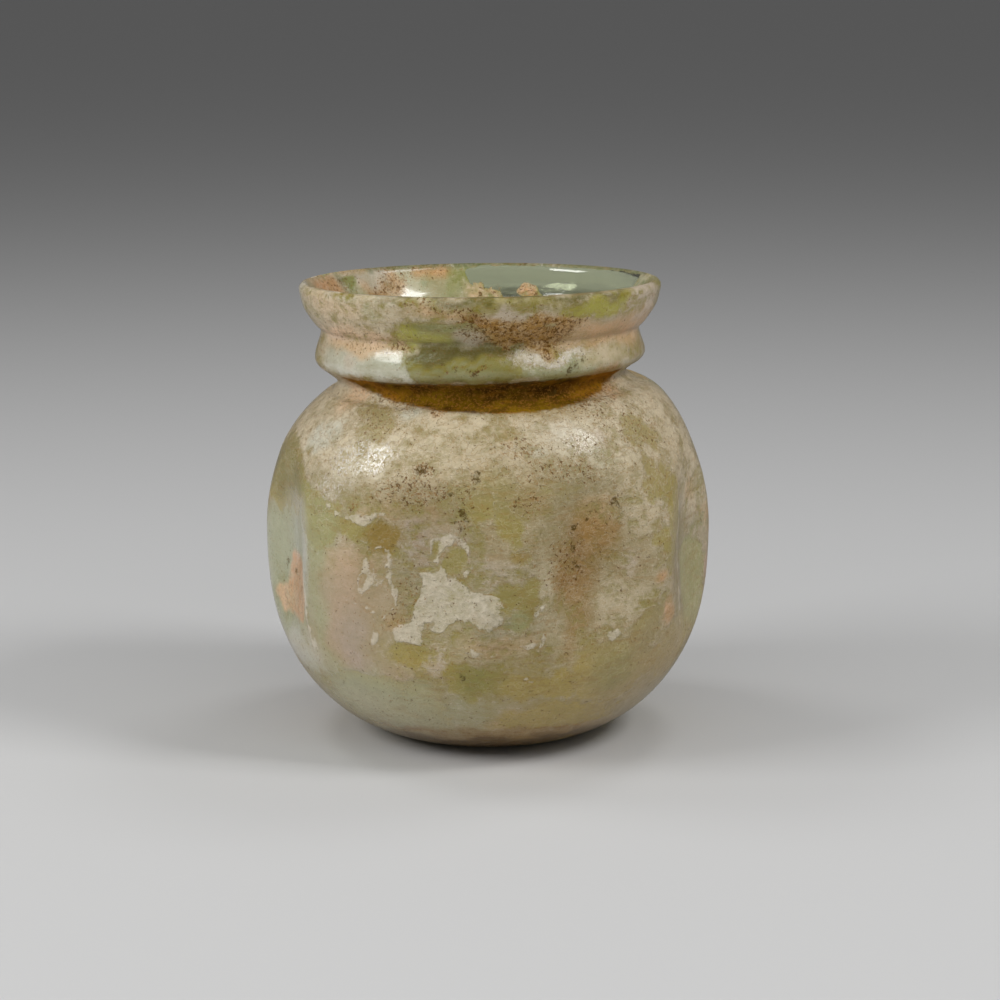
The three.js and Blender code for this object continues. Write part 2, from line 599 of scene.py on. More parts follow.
def evenly(outline: np.ndarray, spacing: float) -> np.ndarray:
    """An outline laid again with points at even distances.

    Args:
        outline: radius and height of each point.
        spacing: the distance between points, in mm.

    Returns:
        The points at equal steps of arc length, both ends kept.
    """
    steps = np.hypot(*np.diff(outline, axis=0).T)
    outline = outline[np.concatenate([[True], steps > 1e-6])]
    along = np.concatenate([[0.0], np.cumsum(np.hypot(*np.diff(outline, axis=0).T))])
    at = np.linspace(0.0, along[-1], max(2, round(along[-1] / spacing)) + 1)
    return np.column_stack([np.interp(at, along, outline[:, 0]), np.interp(at, along, outline[:, 1])])


class Wire:
    """A shader socket that takes part in sums, products and the choice of the larger or smaller."""

    def __init__(self, sheet: "Sheet", socket: bpy.types.NodeSocket) -> None:
        """Wraps a node's output.

        Args:
            sheet: the material sheet that the node is on.
            socket: the output.
        """
        self.sheet = sheet
        self.socket = socket

    def math(self, operation: str, *values: "Wire | float") -> "Wire":
        """Puts a Math node on the sheet, with its values in order."""
        return self.sheet.node("ShaderNodeMath", {"operation": operation}, dict(enumerate(values)))

    def __add__(self, other: "Wire | float") -> "Wire":
        """Self plus other."""
        return self.math("ADD", self, other)

    def __radd__(self, other: float) -> "Wire":
        """Other plus self."""
        return self.math("ADD", other, self)

    def __sub__(self, other: "Wire | float") -> "Wire":
        """Self less other."""
        return self.math("SUBTRACT", self, other)

    def __rsub__(self, other: float) -> "Wire":
        """Other less self."""
        return self.math("SUBTRACT", other, self)

    def __mul__(self, other: "Wire | float") -> "Wire":
        """Self times other."""
        return self.math("MULTIPLY", self, other)

    def __rmul__(self, other: float) -> "Wire":
        """Other times self."""
        return self.math("MULTIPLY", other, self)

    def __truediv__(self, other: "Wire | float") -> "Wire":
        """Self over other."""
        return self.math("DIVIDE", self, other)

    def most(self, other: "Wire | float") -> "Wire":
        """The larger of self and other."""
        return self.math("MAXIMUM", self, other)

    def least(self, other: "Wire | float") -> "Wire":
        """The smaller of self and other."""
        return self.math("MINIMUM", self, other)

    def size(self) -> "Wire":
        """Self without its sign."""
        return self.math("ABSOLUTE", self)

    def between(self, low: float, high: float) -> "Wire":
        """0 at low, 1 at high and level past them, with a smooth rise.

        Args:
            low: where the rise starts.
            high: where it ends.

        Returns:
            The share of the way.
        """
        return self.sheet.node(
            "ShaderNodeMapRange",
            {"interpolation_type": "SMOOTHSTEP", "clamp": True},
            {"Value": self, "From Min": low, "From Max": high},
        )


Value = Wire | float | Sequence[float]


class Sheet:
    """A material's node sheet, on which nodes are laid by one method."""

    FIRST_COLOUR = 6  # the Mix node's colour sockets, by number because their names repeat
    SECOND_COLOUR = 7
    MIXED_COLOUR = 2

    def __init__(self, name: str) -> None:
        """Starts an empty material.

        Args:
            name: the material's name.
        """
        self.material = bpy.data.materials.new(name)
        self.material.use_nodes = True
        self.tree = self.material.node_tree
        self.tree.nodes.clear()

    def node(
        self,
        kind: str,
        settings: Mapping[str, object] | None = None,
        inputs: Mapping[str | int, Value] | None = None,
        output: str | int = 0,
    ) -> Wire:
        """Lays one node.

        Args:
            kind: the node's type.
            settings: its own settings, set first.
            inputs: its sockets' values or links, by name or number.
            output: the output to give back.

        Returns:
            The output, ready for more maths.
        """
        made = self.tree.nodes.new(kind)
        for name, value in (settings or {}).items():
            setattr(made, name, value)
        for name, value in (inputs or {}).items():
            self.feed(made.inputs[name], value)
        return Wire(self, made.outputs[output]) if made.outputs else Wire(self, None)

    def feed(self, socket: bpy.types.NodeSocket, value: Value) -> None:
        """Links a wire to a socket, or sets a number or a colour on it.

        Args:
            socket: the socket.
            value: the wire, the number or the colour.
        """
        if isinstance(value, Wire):
            self.tree.links.new(value.socket, socket)
        elif socket.type == "RGBA":
            socket.default_value = (*value, 1.0)
        else:
            socket.default_value = value

    def blend(self, share: Wire | float, first: Value, second: Value) -> Wire:
        """A colour between two.

        Args:
            share: 0 for the first and 1 for the second.
            first: a colour.
            second: another.

        Returns:
            The mixed colour.
        """
        settings = {"data_type": "RGBA", "clamp_factor": True}
        inputs = {0: share, self.FIRST_COLOUR: first, self.SECOND_COLOUR: second}
        return self.node("ShaderNodeMix", settings, inputs, self.MIXED_COLOUR)

    def shade(self, colour: Value, strength: Wire) -> Wire:
        """A colour made lighter or darker by a factor."""
        return self.node("ShaderNodeVectorMath", {"operation": "SCALE"}, {0: colour, "Scale": strength})


@dataclass(frozen=True)
class Grain:
    """One noise pattern that runs through the jar."""

    size: float  # of its patches, in mm
    detail: float  # how many finer layers it has
    roughness: float  # how strong they are
    shift: float  # how far it is moved, in mm, so that no two patterns agree
    squash: float = 1.0  # how many times its patches are wider than high


@dataclass(frozen=True)
class Margin:
    """How the edge of a layer runs, in mm."""

    ragged: float  # how far it wanders
    low: float  # the depth where the layer sets in
    high: float  # the depth where it is full


@dataclass(frozen=True)
class CrustFinish:
    """How the weathered film and crust are broken up, and how they catch the light."""

    dull: float = 0.46  # the roughness of a full film, and of the smoothest places
    bright: float = 0.2
    film_thickness: float = 380.0  # nanometres, for the faint rainbow of old glass
    film_ior: float = 1.45
    coat_roughness: float = 0.12
    relief: float = 0.28  # mm
    relief_strength: float = 0.9
    smoothing: tuple[float, float, float] = (0.14, 0.16, 0.18)  # thin, glassy and silvery film
    film_left: float = 0.7  # how much film there is before the patches
    crust_left: float = 0.16  # how much more there is under crust
    wearing: tuple[float, float] = (0.12, 1.0)  # from where it is gone to where it is full
    patches: tuple[float, float] = (2.6, 1.9)  # how deeply the large and small ones break it up
    calming: float = 0.85  # how much less it is broken up where it is glassy
    bared: float = 0.94  # how much of it is gone in a window


@dataclass(frozen=True)
class Marks:
    """How strongly each kind of mark shows on the film, from 0 to 1."""

    crusty: float = 0.45  # pale crust between the ridges
    hollows: float = 0.6
    ridges: float = 0.5
    layers: float = 0.35  # the edges of thin layers
    window_line: float = 0.3
    flake_line: float = 0.45
    # The bright specks are painted glints
    glint_specks: float = 0.75  # bright specks
    fine: float = 0.7  # small grains
    coarse: float = 0.8


@dataclass(frozen=True)
class Heights:
    """How high each thing stands in the fine relief, as shares of it."""

    small: float = 0.7  # small and tiny patches
    tiny: float = 0.35
    film: float = 0.35
    flake: float = 0.4
    ridge: float = 0.3
    pit: float = 0.5  # how deep grains and blots lie
    silver: float = 0.45  # how much lower all of it is on silvery and glassy film
    gloss: float = 0.4


@dataclass(frozen=True)
class GlassFinish:
    """The clear glass under the film."""

    tint: Colour = linear(216, 224, 188)
    roughness: float = 0.04
    ior: float = 1.5
    relief: float = 0.3  # mm
    relief_strength: float = 0.3


@dataclass(frozen=True)
class DepositFinish:
    """The dark deposit in the neck's groove, and soil elsewhere."""

    roughness: float = 0.9
    gloss: float = 0.05


class WeatheredGlass:
    """The jar's one material: tinted glass under a patchy film, crust, flakes and soil."""

    LARGE = Grain(4.6, 5.0, 0.62, 0.0, 1.3)
    SMALL = Grain(1.3, 5.0, 0.7, 11.0, 1.3)
    TINY = Grain(0.42, 3.0, 0.68, 23.0)
    SPECKLE = Grain(0.6, 3.0, 0.72, 5.0)
    WINDING = Grain(1.5, 3.0, 0.55, 37.0)
    FLAT = Grain(3.4, 5.0, 0.6, 77.0, 4.0)
    RAGGED = Grain(2.2, 6.0, 0.66, 51.0)
    RIPPLES = Grain(4.0, 2.0, 0.5, 63.0, 5.0)
    MARGINS = {
        Relief.WINDOW: Margin(1.1, -0.6, 0.45),
        Relief.FLAKE: Margin(0.5, -0.1, 0.14),
        Relief.BARE: Margin(0.3, -0.06, 0.1),
        Relief.DEPOSIT: Margin(0.35, -0.12, 0.15),
        Relief.BLOT: Margin(0.9, -0.1, 0.15),
    }
    # Where on a noise each mark sets in and where it is full
    CRUSTY = (0.42, 0.58)
    STREAKS = (0.5, 0.64)
    LAYERED = (0.46, 0.56)
    BROKEN = (0.44, 0.6)
    FLAKED = (0.2, 0.42)
    AMBER = (0.42, 0.6)
    BROWN = (0.5, 0.62)
    ORANGE = (0.54, 0.64)
    SHINING = (0.46, 0.56)
    BLOTTED = (0.4, 0.52)
    # Half the thickness of winding lines, as a share of the noise's span
    RIDGE_WIDTH = 0.04
    HOLLOW_WIDTH = 0.03
    HOLLOW_AWAY = 0.045  # from the ridge beside it
    LAYER_WIDTH = 0.012
    NOISE_SPAN = 4.0  # makes a noise about 0 reach from -1 to 1
    LINE_AWAY = 0.14  # how far outside an edge its line runs, in mm
    LINE_WIDTH = 0.17  # half its width, in mm

    def __init__(
        self,
        crust: CrustFinish,
        marks: Marks,
        heights: Heights,
        glass: GlassFinish,
        deposit: DepositFinish,
    ) -> None:
        """Lays the patterns, and the values held on the jar's points.

        Args:
            crust: the finish of the film and the crust.
            marks: how strongly their marks show.
            heights: how high they stand.
            glass: the finish of the bare glass.
            deposit: the finish of the deposit.
        """
        self.crust_finish = crust
        self.marks = marks
        self.heights = heights
        self.glass_finish = glass
        self.deposit_finish = deposit
        self.sheet = Sheet("weathered_glass")
        self.place = self.sheet.node("ShaderNodeTexCoord", output="Object")
        self.ragged = self.noise(self.RAGGED) - 0.5
        self.large = self.noise(self.LARGE)
        self.small = self.noise(self.SMALL)
        self.tiny = self.noise(self.TINY)
        self.speckle = self.noise(self.SPECKLE)
        self.flat = self.noise(self.FLAT)
        self.grit = self.held(Amount.GRIT.value)
        self.crust = self.held(Amount.CRUST.value)
        self.gloss = self.held(Amount.GLOSS.value)
        self.silver = self.held(Amount.SILVER.value)
        self.calm = 1.0 - self.gloss * crust.calming

    def noise(self, grain: Grain) -> Wire:
        """Noise in the jar's own space, moved by its shift and squashed upright.

        Args:
            grain: the pattern.

        Returns:
            Values about 0.5.
        """
        offset = (grain.shift * METRE, -grain.shift * METRE, grain.shift * METRE)
        place = self.sheet.node("ShaderNodeVectorMath", {"operation": "ADD"}, {0: self.place, 1: offset})
        if grain.squash != 1.0:
            flat = {0: place, 1: (1.0, 1.0, grain.squash)}
            place = self.sheet.node("ShaderNodeVectorMath", {"operation": "MULTIPLY"}, flat)
        inputs = {
            "Vector": place,
            "Scale": 1.0 / (grain.size * METRE),
            "Detail": grain.detail,
            "Roughness": grain.roughness,
        }
        return self.sheet.node("ShaderNodeTexNoise", None, inputs)

    def held(self, name: str, output: str = "Fac") -> Wire:
        """A value held on the jar's points."""
        return self.sheet.node("ShaderNodeAttribute", {"attribute_name": name}, output=output)

    def painted(self, paint: Paint) -> Wire:
        """A colour held on the jar's points."""
        return self.held(paint.value, "Color")

    def depth(self, layer: Relief) -> Wire:
        """How far inside a layer's ragged edge a point is, in mm."""
        return self.held(layer.value) + self.ragged * (self.MARGINS[layer].ragged * self.NOISE_SPAN)

    def within(self, layer: Relief) -> Wire:
        """A layer's cover, from 0 to 1."""
        return self.depth(layer).between(self.MARGINS[layer].low, self.MARGINS[layer].high)

    def edge_line(self, layer: Relief) -> Wire:
        """A line just outside a layer's edge, from 0 to 1."""
        away = self.depth(layer) - self.MARGINS[layer].low + self.LINE_AWAY
        return (1.0 - away.size() / self.LINE_WIDTH).most(0.0)

    def lines(self, pattern: Wire, thickness: float) -> Wire:
        """Thin winding lines, where a noise passes its middle."""
        return (1.0 - (pattern - 0.5).size() / thickness).most(0.0)

    def film_cover(self) -> Wire:
        """How much of the film is left: patchy at every size, calmer where it is glassy.

        Returns:
            0 where it is gone to 1 where it is full.
        """
        finish = self.crust_finish
        deep, shallow = finish.patches
        uneven = ((self.large - 0.5) * deep + (self.small - 0.5) * shallow) * self.calm
        cover = (finish.film_left + self.crust * finish.crust_left + uneven).between(*finish.wearing)
        return cover * (1.0 - self.within(Relief.WINDOW) * finish.bared)

    def filmed(self, cover: Wire) -> Wire:
        """The colours of the glass and the film, each lighter and darker in large patches.

        Args:
            cover: how much of the film is left.

        Returns:
            The colour, with flat brown streaks in it.
        """
        sheet = self.sheet
        ground = sheet.shade(self.painted(Paint.GROUND), 0.8 + self.large * 0.4)
        film = sheet.shade(self.painted(Paint.FILM), 0.86 + self.large * 0.28)
        crusty = self.small.between(*self.CRUSTY) * self.crust * self.marks.crusty
        film = sheet.blend(crusty, film, Tone.CREAM.value)
        streaks = self.flat.between(*self.STREAKS) * self.calm * (0.3 - self.crust * 0.2)
        return sheet.blend(streaks, sheet.blend(cover, ground, film), Tone.STAIN.value)

    def ridges(self, winding: Wire) -> Wire:
        """The crust's winding ridges."""
        return self.lines(winding, self.RIDGE_WIDTH) * (0.2 + self.crust * 0.8) * self.calm

    def crusted(self, colour: Wire, winding: Wire, ridges: Wire) -> Wire:
        """Pale winding ridges with dark hollows beside them, and the edges of thin layers.

        Args:
            colour: the colour under them.
            winding: the noise that the ridges follow.
            ridges: the ridges.

        Returns:
            The colour with them.
        """
        sheet = self.sheet
        beside = self.lines(winding - self.HOLLOW_AWAY, self.HOLLOW_WIDTH)
        hollows = beside * (0.1 + self.crust * 0.9) * self.calm
        colour = sheet.blend(hollows * self.marks.hollows, colour, Tone.STAIN.value)
        colour = sheet.blend(ridges * self.marks.ridges, colour, Tone.CREAM.value)
        layers = self.lines(self.flat, self.LAYER_WIDTH) * self.calm * self.large.between(*self.LAYERED)
        return sheet.blend(layers * self.marks.layers, colour, Tone.WHITE.value)

    def flaked(self, colour: Wire, flake: Wire) -> Wire:
        """Pale flakes with a brown line round them, and white lines along the windows.

        Args:
            colour: the colour under them.
            flake: the flakes' cover.

        Returns:
            The colour with them.
        """
        sheet = self.sheet
        broken = self.small.between(*self.BROKEN)
        window_line = self.edge_line(Relief.WINDOW) * broken * self.marks.window_line
        flake_line = self.edge_line(Relief.FLAKE) * broken * self.marks.flake_line
        pale = tuple(0.1 * cream + 0.9 * white for cream, white in zip(Tone.CREAM.value, Tone.WHITE.value))
        colour = sheet.blend(window_line, colour, Tone.WHITE.value)
        flake = flake * self.large.between(*self.FLAKED) * (0.08 + self.small)
        colour = sheet.blend(flake, colour, pale)
        return sheet.blend(flake_line, colour, Tone.STAIN.value)

    def earth(self) -> Wire:
        """The deposit's mottled brown and amber, half of it taken from the film's own colour.

        Returns:
            The colour.
        """
        sheet = self.sheet
        amber = sheet.blend(self.large.between(*self.AMBER), Tone.DARK_AMBER.value, Tone.AMBER.value)
        earth = sheet.blend(self.small.between(*self.BROWN) * 0.6, amber, Tone.DARK_AMBER.value)
        earth = sheet.blend(self.flat.between(*self.ORANGE) * 0.55, earth, Tone.ORANGE_AMBER.value)
        return sheet.blend(0.5, earth, self.painted(Paint.FILM))

    def specked(self, colour: Wire, coarse: Wire, spots: Wire) -> Wire:
        """Painted glint specks, brown grit and single dark blots.

        Args:
            colour: the colour under them.
            coarse: the coarse grains.
            spots: the blots.

        Returns:
            The colour with them, made a little lighter and darker in small patches.
        """
        sheet = self.sheet
        # Painted glint specks where the film is silvery
        glint_specks = (0.72 - self.speckle).between(0.29, 0.33) * self.silver
        glint_specks = glint_specks.most((self.tiny - 0.53).between(0.0, 0.08) * self.silver)
        fine = (self.tiny - (0.66 - self.grit * 0.18)).between(0.0, 0.03)
        colour = sheet.blend(glint_specks * self.marks.glint_specks, colour, Tone.SILVER.value)
        colour = sheet.blend(fine * self.marks.fine, colour, Tone.SOIL.value)
        colour = sheet.blend(coarse * self.marks.coarse, colour, Tone.GRAIN_AND_SHADOW.value)
        colour = sheet.blend(spots, colour, Tone.MOSS_GRAIN.value)
        return sheet.shade(colour, 0.78 + self.tiny * 0.24 + self.small * 0.2)

    def skin(self, colour: Wire, cover: Wire, height: Wire) -> Wire:
        """The shader of the film and the crust.

        Args:
            colour: its colour.
            cover: how much of the film is left, which makes it rougher.
            height: its relief.

        Returns:
            The shader.
        """
        finish = self.crust_finish
        thin, glassy, silvery = finish.smoothing
        rough = finish.dull - (1.0 - cover) * thin - self.gloss * glassy - self.silver * silvery
        relief = {
            "Strength": finish.relief_strength,
            "Distance": finish.relief * METRE,
            "Height": height,
        }
        return self.sheet.node(
            "ShaderNodeBsdfPrincipled",
            None,
            {
                "Base Color": colour,
                "Roughness": rough.most(finish.bright),
                "Coat Weight": (self.gloss + self.silver * self.tiny.between(*self.SHINING)).least(1.0),
                "Coat Roughness": finish.coat_roughness,
                "Thin Film Thickness": finish.film_thickness,
                "Thin Film IOR": finish.film_ior,
                "Normal": self.sheet.node("ShaderNodeBump", None, relief),
            },
        )

    def soil(self, colour: Wire) -> Wire:
        """The dull shader of the deposit and the grains.

        Args:
            colour: their colour.

        Returns:
            The shader.
        """
        finish = self.deposit_finish
        look = {"Base Color": colour, "Roughness": finish.roughness, "Specular IOR Level": finish.gloss}
        return self.sheet.node("ShaderNodeBsdfPrincipled", None, look)

    def see_through(self) -> Wire:
        """The shader of the bare glass, with faint ripples from the turning of the hot glass.

        Returns:
            The shader.
        """
        finish = self.glass_finish
        ripples = {
            "Strength": finish.relief_strength,
            "Distance": finish.relief * METRE,
            "Height": self.noise(self.RIPPLES),
        }
        return self.sheet.node(
            "ShaderNodeBsdfPrincipled",
            None,
            {
                "Base Color": finish.tint,
                "Roughness": finish.roughness,
                "IOR": finish.ior,
                "Transmission Weight": 1.0,
                "Coat Weight": 1.0,
                "Coat Roughness": finish.roughness,
                "Normal": self.sheet.node("ShaderNodeBump", None, ripples),
            },
        )

    def build(self) -> bpy.types.Material:
        """Lays all the nodes, from the glass to the last grain of soil.

        Returns:
            The material.
        """
        sheet = self.sheet
        flake, deposit, blot = (self.within(r) for r in (Relief.FLAKE, Relief.DEPOSIT, Relief.BLOT))
        winding = self.noise(self.WINDING)
        ridges = self.ridges(winding)
        coarse = (self.speckle - (0.67 - self.grit * 0.15)).between(0.0, 0.025)
        spots = blot * (self.tiny.between(*self.BLOTTED) * 0.65 + 0.2)

        cover = self.film_cover()
        colour = self.crusted(self.filmed(cover), winding, ridges)
        colour = sheet.blend(deposit, self.flaked(colour, flake), self.earth())
        colour = self.specked(colour, coarse, spots)

        high = self.heights
        height = self.small * high.small + self.tiny * high.tiny
        height = height + cover * high.film + flake * high.flake + ridges * high.ridge
        height = height - (coarse + blot) * high.pit
        height = height * (1.0 - self.silver * high.silver) * (1.0 - self.gloss * high.gloss)

        earthy = deposit.most(spots).most(coarse * self.marks.coarse)
        layers = {0: earthy, 1: self.skin(colour, cover, height), 2: self.soil(colour)}
        covered = sheet.node("ShaderNodeMixShader", None, layers)
        clear = self.within(Relief.BARE) * self.held(Amount.CLEAR.value)
        layers = {0: clear, 1: covered, 2: self.see_through()}
        surface = sheet.node("ShaderNodeMixShader", None, layers)
        sheet.node("ShaderNodeOutputMaterial", None, {"Surface": surface})
        return sheet.material


@dataclass(frozen=True)
class Weathering:
    """Everything that burial left on one side of the glass wall."""

    film: tuple[Wash, ...]
    ground: tuple[Wash, ...]
    reliefs: Mapping[Relief, tuple[Region, ...]]
    amounts: Mapping[Amount, tuple[Wash, ...]]
    film_base: Tone = Tone.HAZE
    ground_base: Tone = Tone.OLIVE

    FAR = -8.0  # the depth given where there is none of a layer, in mm

    @staticmethod
    def painted(base: Tone, washes: Iterable[Wash], site: Site) -> np.ndarray:
        """Colours after each wash has been laid over the last.

        Args:
            base: the colour under all washes.
            washes: the washes in order.
            site: the places.

        Returns:
            Red, green and blue for each place: colour + (wash - colour) * cover.
        """
        colours = np.tile(np.array(base.value), (len(site.points), 1))
        for wash in washes:
            cover = wash.cover(site)[:, None]
            colours += (np.array(wash.tone.value) - colours) * cover
        return colours

    def depths(self, layer: Relief, site: Site) -> np.ndarray:
        """The depth inside a layer's edge: the greatest over its regions, in mm."""
        found = [region.inwards(site) for region in self.reliefs.get(layer, ())]
        return np.max([np.full(len(site.points), self.FAR), *found], axis=0)

    def amount(self, kind: Amount, site: Site) -> np.ndarray:
        """The greatest cover over the washes of one kind, from 0 to 1."""
        found = [wash.cover(site) for wash in self.amounts.get(kind, ())]
        return np.max([np.zeros(len(site.points)), *found], axis=0)

    def values(self, site: Site) -> dict[str, np.ndarray]:
        """All of the material's point values.

        Args:
            site: the places.

        Returns:
            A colour for each paint, a depth for each relief layer and an amount for each kind.
        """
        values = {
            Paint.FILM.value: self.painted(self.film_base, self.film, site),
            Paint.GROUND.value: self.painted(self.ground_base, self.ground, site),
        }
        values |= {layer.value: self.depths(layer, site) for layer in Relief}
        values |= {kind.value: self.amount(kind, site) for kind in Amount}
        bared = np.maximum(values[Relief.WINDOW.value], values[Relief.BARE.value])
        return values | {Relief.WINDOW.value: bared}


@dataclass
class Jar:
    """The jar itself: its surface, its point values and its finish."""

    shape: JarShape
    outer: Weathering
    inner: Weathering
    segments: int = 384
    outer_spacing: float = 0.62
    inner_spacing: float = 1.9
    film_room: float = 0.16  # how far the film lies inside the solid's face, in mm
    film_thickness: float = 0.06
    flake_thickness: float = 0.05

    FILM_STEP = (-0.4, 0.4)  # the depths in mm between which the film's edge falls away
    FLAKE_STEP = (-0.3, 0.4)
    FOOT = (12.0, 16.0)  # the radii between which the film sets in under the jar

    def grid(self) -> tuple[np.ndarray, np.ndarray, np.ndarray, np.ndarray]:
        """The surface's points: rings from the underside to the floor, then both middles.

        Returns:
            Radius, bearing and straight height of every point, and whether it is inside.
        """
        outer = evenly(self.shape.outside(), self.outer_spacing)
        inner = evenly(self.shape.inside(), self.inner_spacing)
        rings = np.vstack([outer[1:], inner[1:-1]])
        within = np.arange(len(rings)) >= len(outer) - 1
        turn = np.arange(self.segments) * (360.0 / self.segments)
        radius = np.append(np.repeat(rings[:, 0], self.segments), [0.0, 0.0])
        height = np.append(np.repeat(rings[:, 1], self.segments), [outer[0, 1], inner[-1, 1]])
        bearing = np.append(np.tile(turn, len(rings)), [0.0, 0.0])
        return radius, bearing, height, np.append(np.repeat(within, self.segments), [False, True])

    def faces(self, rings: int) -> list[list[int]]:
        """The faces over the rings: quads between rings, and a fan of triangles at each middle.

        Args:
            rings: the number of rings.

        Returns:
            Each face's points. The first middle comes after the rings' points, then the second.
        """
        here = np.arange(self.segments)
        after = np.roll(here, -1)
        low = np.arange(rings - 1)[:, None] * self.segments
        high = low + self.segments
        quads = np.stack([low + here, low + after, high + after, high + here], axis=-1).reshape(-1, 4)
        middle, last = rings * self.segments, (rings - 1) * self.segments
        under = np.column_stack([np.full(self.segments, middle), after, here])
        floor = np.column_stack([np.full(self.segments, middle + 1), last + here, last + after])
        return quads.tolist() + under.tolist() + floor.tolist()

    def build(self) -> bpy.types.Object:
        """Makes the jar's mesh with its point values and its material.

        Returns:
            The object, at the origin, with its place in its mesh.
        """
        radius, bearing, straight, within = self.grid()
        points = self.shape.placed(radius, bearing, straight)
        site = Site.of(points, straight)
        seen, hidden = self.outer.values(site), self.inner.values(site)
        values = {}
        for name, numbers in seen.items():
            choice = within if numbers.ndim == 1 else within[:, None]
            values[name] = np.where(choice, hidden[name], numbers)
        points = self.shape.placed(radius - self.sunk(values, within, radius), bearing, straight)
        mesh = bpy.data.meshes.new("weathered_jar")
        mesh.from_pydata((points * METRE).tolist(), [], self.faces(len(points) // self.segments))
        mesh.shade_smooth()
        for name, numbers in values.items():
            self.hold(mesh, name, numbers)
        jar = bpy.data.objects.new("weathered_jar", mesh)
        bpy.context.scene.collection.objects.link(jar)
        glass = WeatheredGlass(CrustFinish(), Marks(), Heights(), GlassFinish(), DepositFinish())
        mesh.materials.append(glass.build())
        return jar

    @staticmethod
    def hold(mesh: bpy.types.Mesh, name: str, numbers: np.ndarray) -> None:
        """Puts a number or a colour for each point on the mesh.

        Args:
            mesh: the mesh.
            name: the name under which the material reads them.
            numbers: one number, or red, green and blue, for each point.
        """
        if numbers.ndim == 1:
            layer = mesh.attributes.new(name, "FLOAT", "POINT")
            layer.data.foreach_set("value", numbers.astype(np.float32))
            return
        layer = mesh.attributes.new(name, "FLOAT_COLOR", "POINT")
        colours = np.column_stack([numbers, np.ones(len(numbers))])
        layer.data.foreach_set("color", colours.astype(np.float32).ravel())

    def sunk(self, values: Mapping[str, np.ndarray], within: np.ndarray, radius: np.ndarray) -> np.ndarray:
        """How far the surface lies inside the solid's face.

        Args:
            values: the point values.
            within: whether each point is on the inside.
            radius: distances from the axis in mm.

        Returns:
            Distances in mm: least on flakes, more on the film and most where the film is gone.
            The inside and the underside keep to the solid's face.
        """
        gone = smooth(*self.FILM_STEP, values[Relief.WINDOW.value])
        flake = smooth(*self.FLAKE_STEP, values[Relief.FLAKE.value])
        depth = self.film_room + self.film_thickness * gone - self.flake_thickness * flake
        return depth * smooth(*self.FOOT, radius) * ~within


BACK_LIP = Band(Patch(165, 75, 60, 20, power=6), 75.0, 76.5)
ORANGE_FILM = Patch(-63, 27.6, 8.5, 5.4, lean=-8, power=3)
LIP_EDGE = Patch(10, 76.6, 44, 0.4, power=5)
RIGHT_FLARE = Patch(54, 69.3, 27, 2.9)
# Painted contact shadow: a dark line low on the front, where the foot meets the floor
FOOT_SHADOW = Patch(4, 2.8, 50, 1.1, power=4)
FOOT_LEFT = Patch(-28, 8, 22, 5)
CLEAR_BACK = Patch(158, 71.5, 66, 8, power=6)


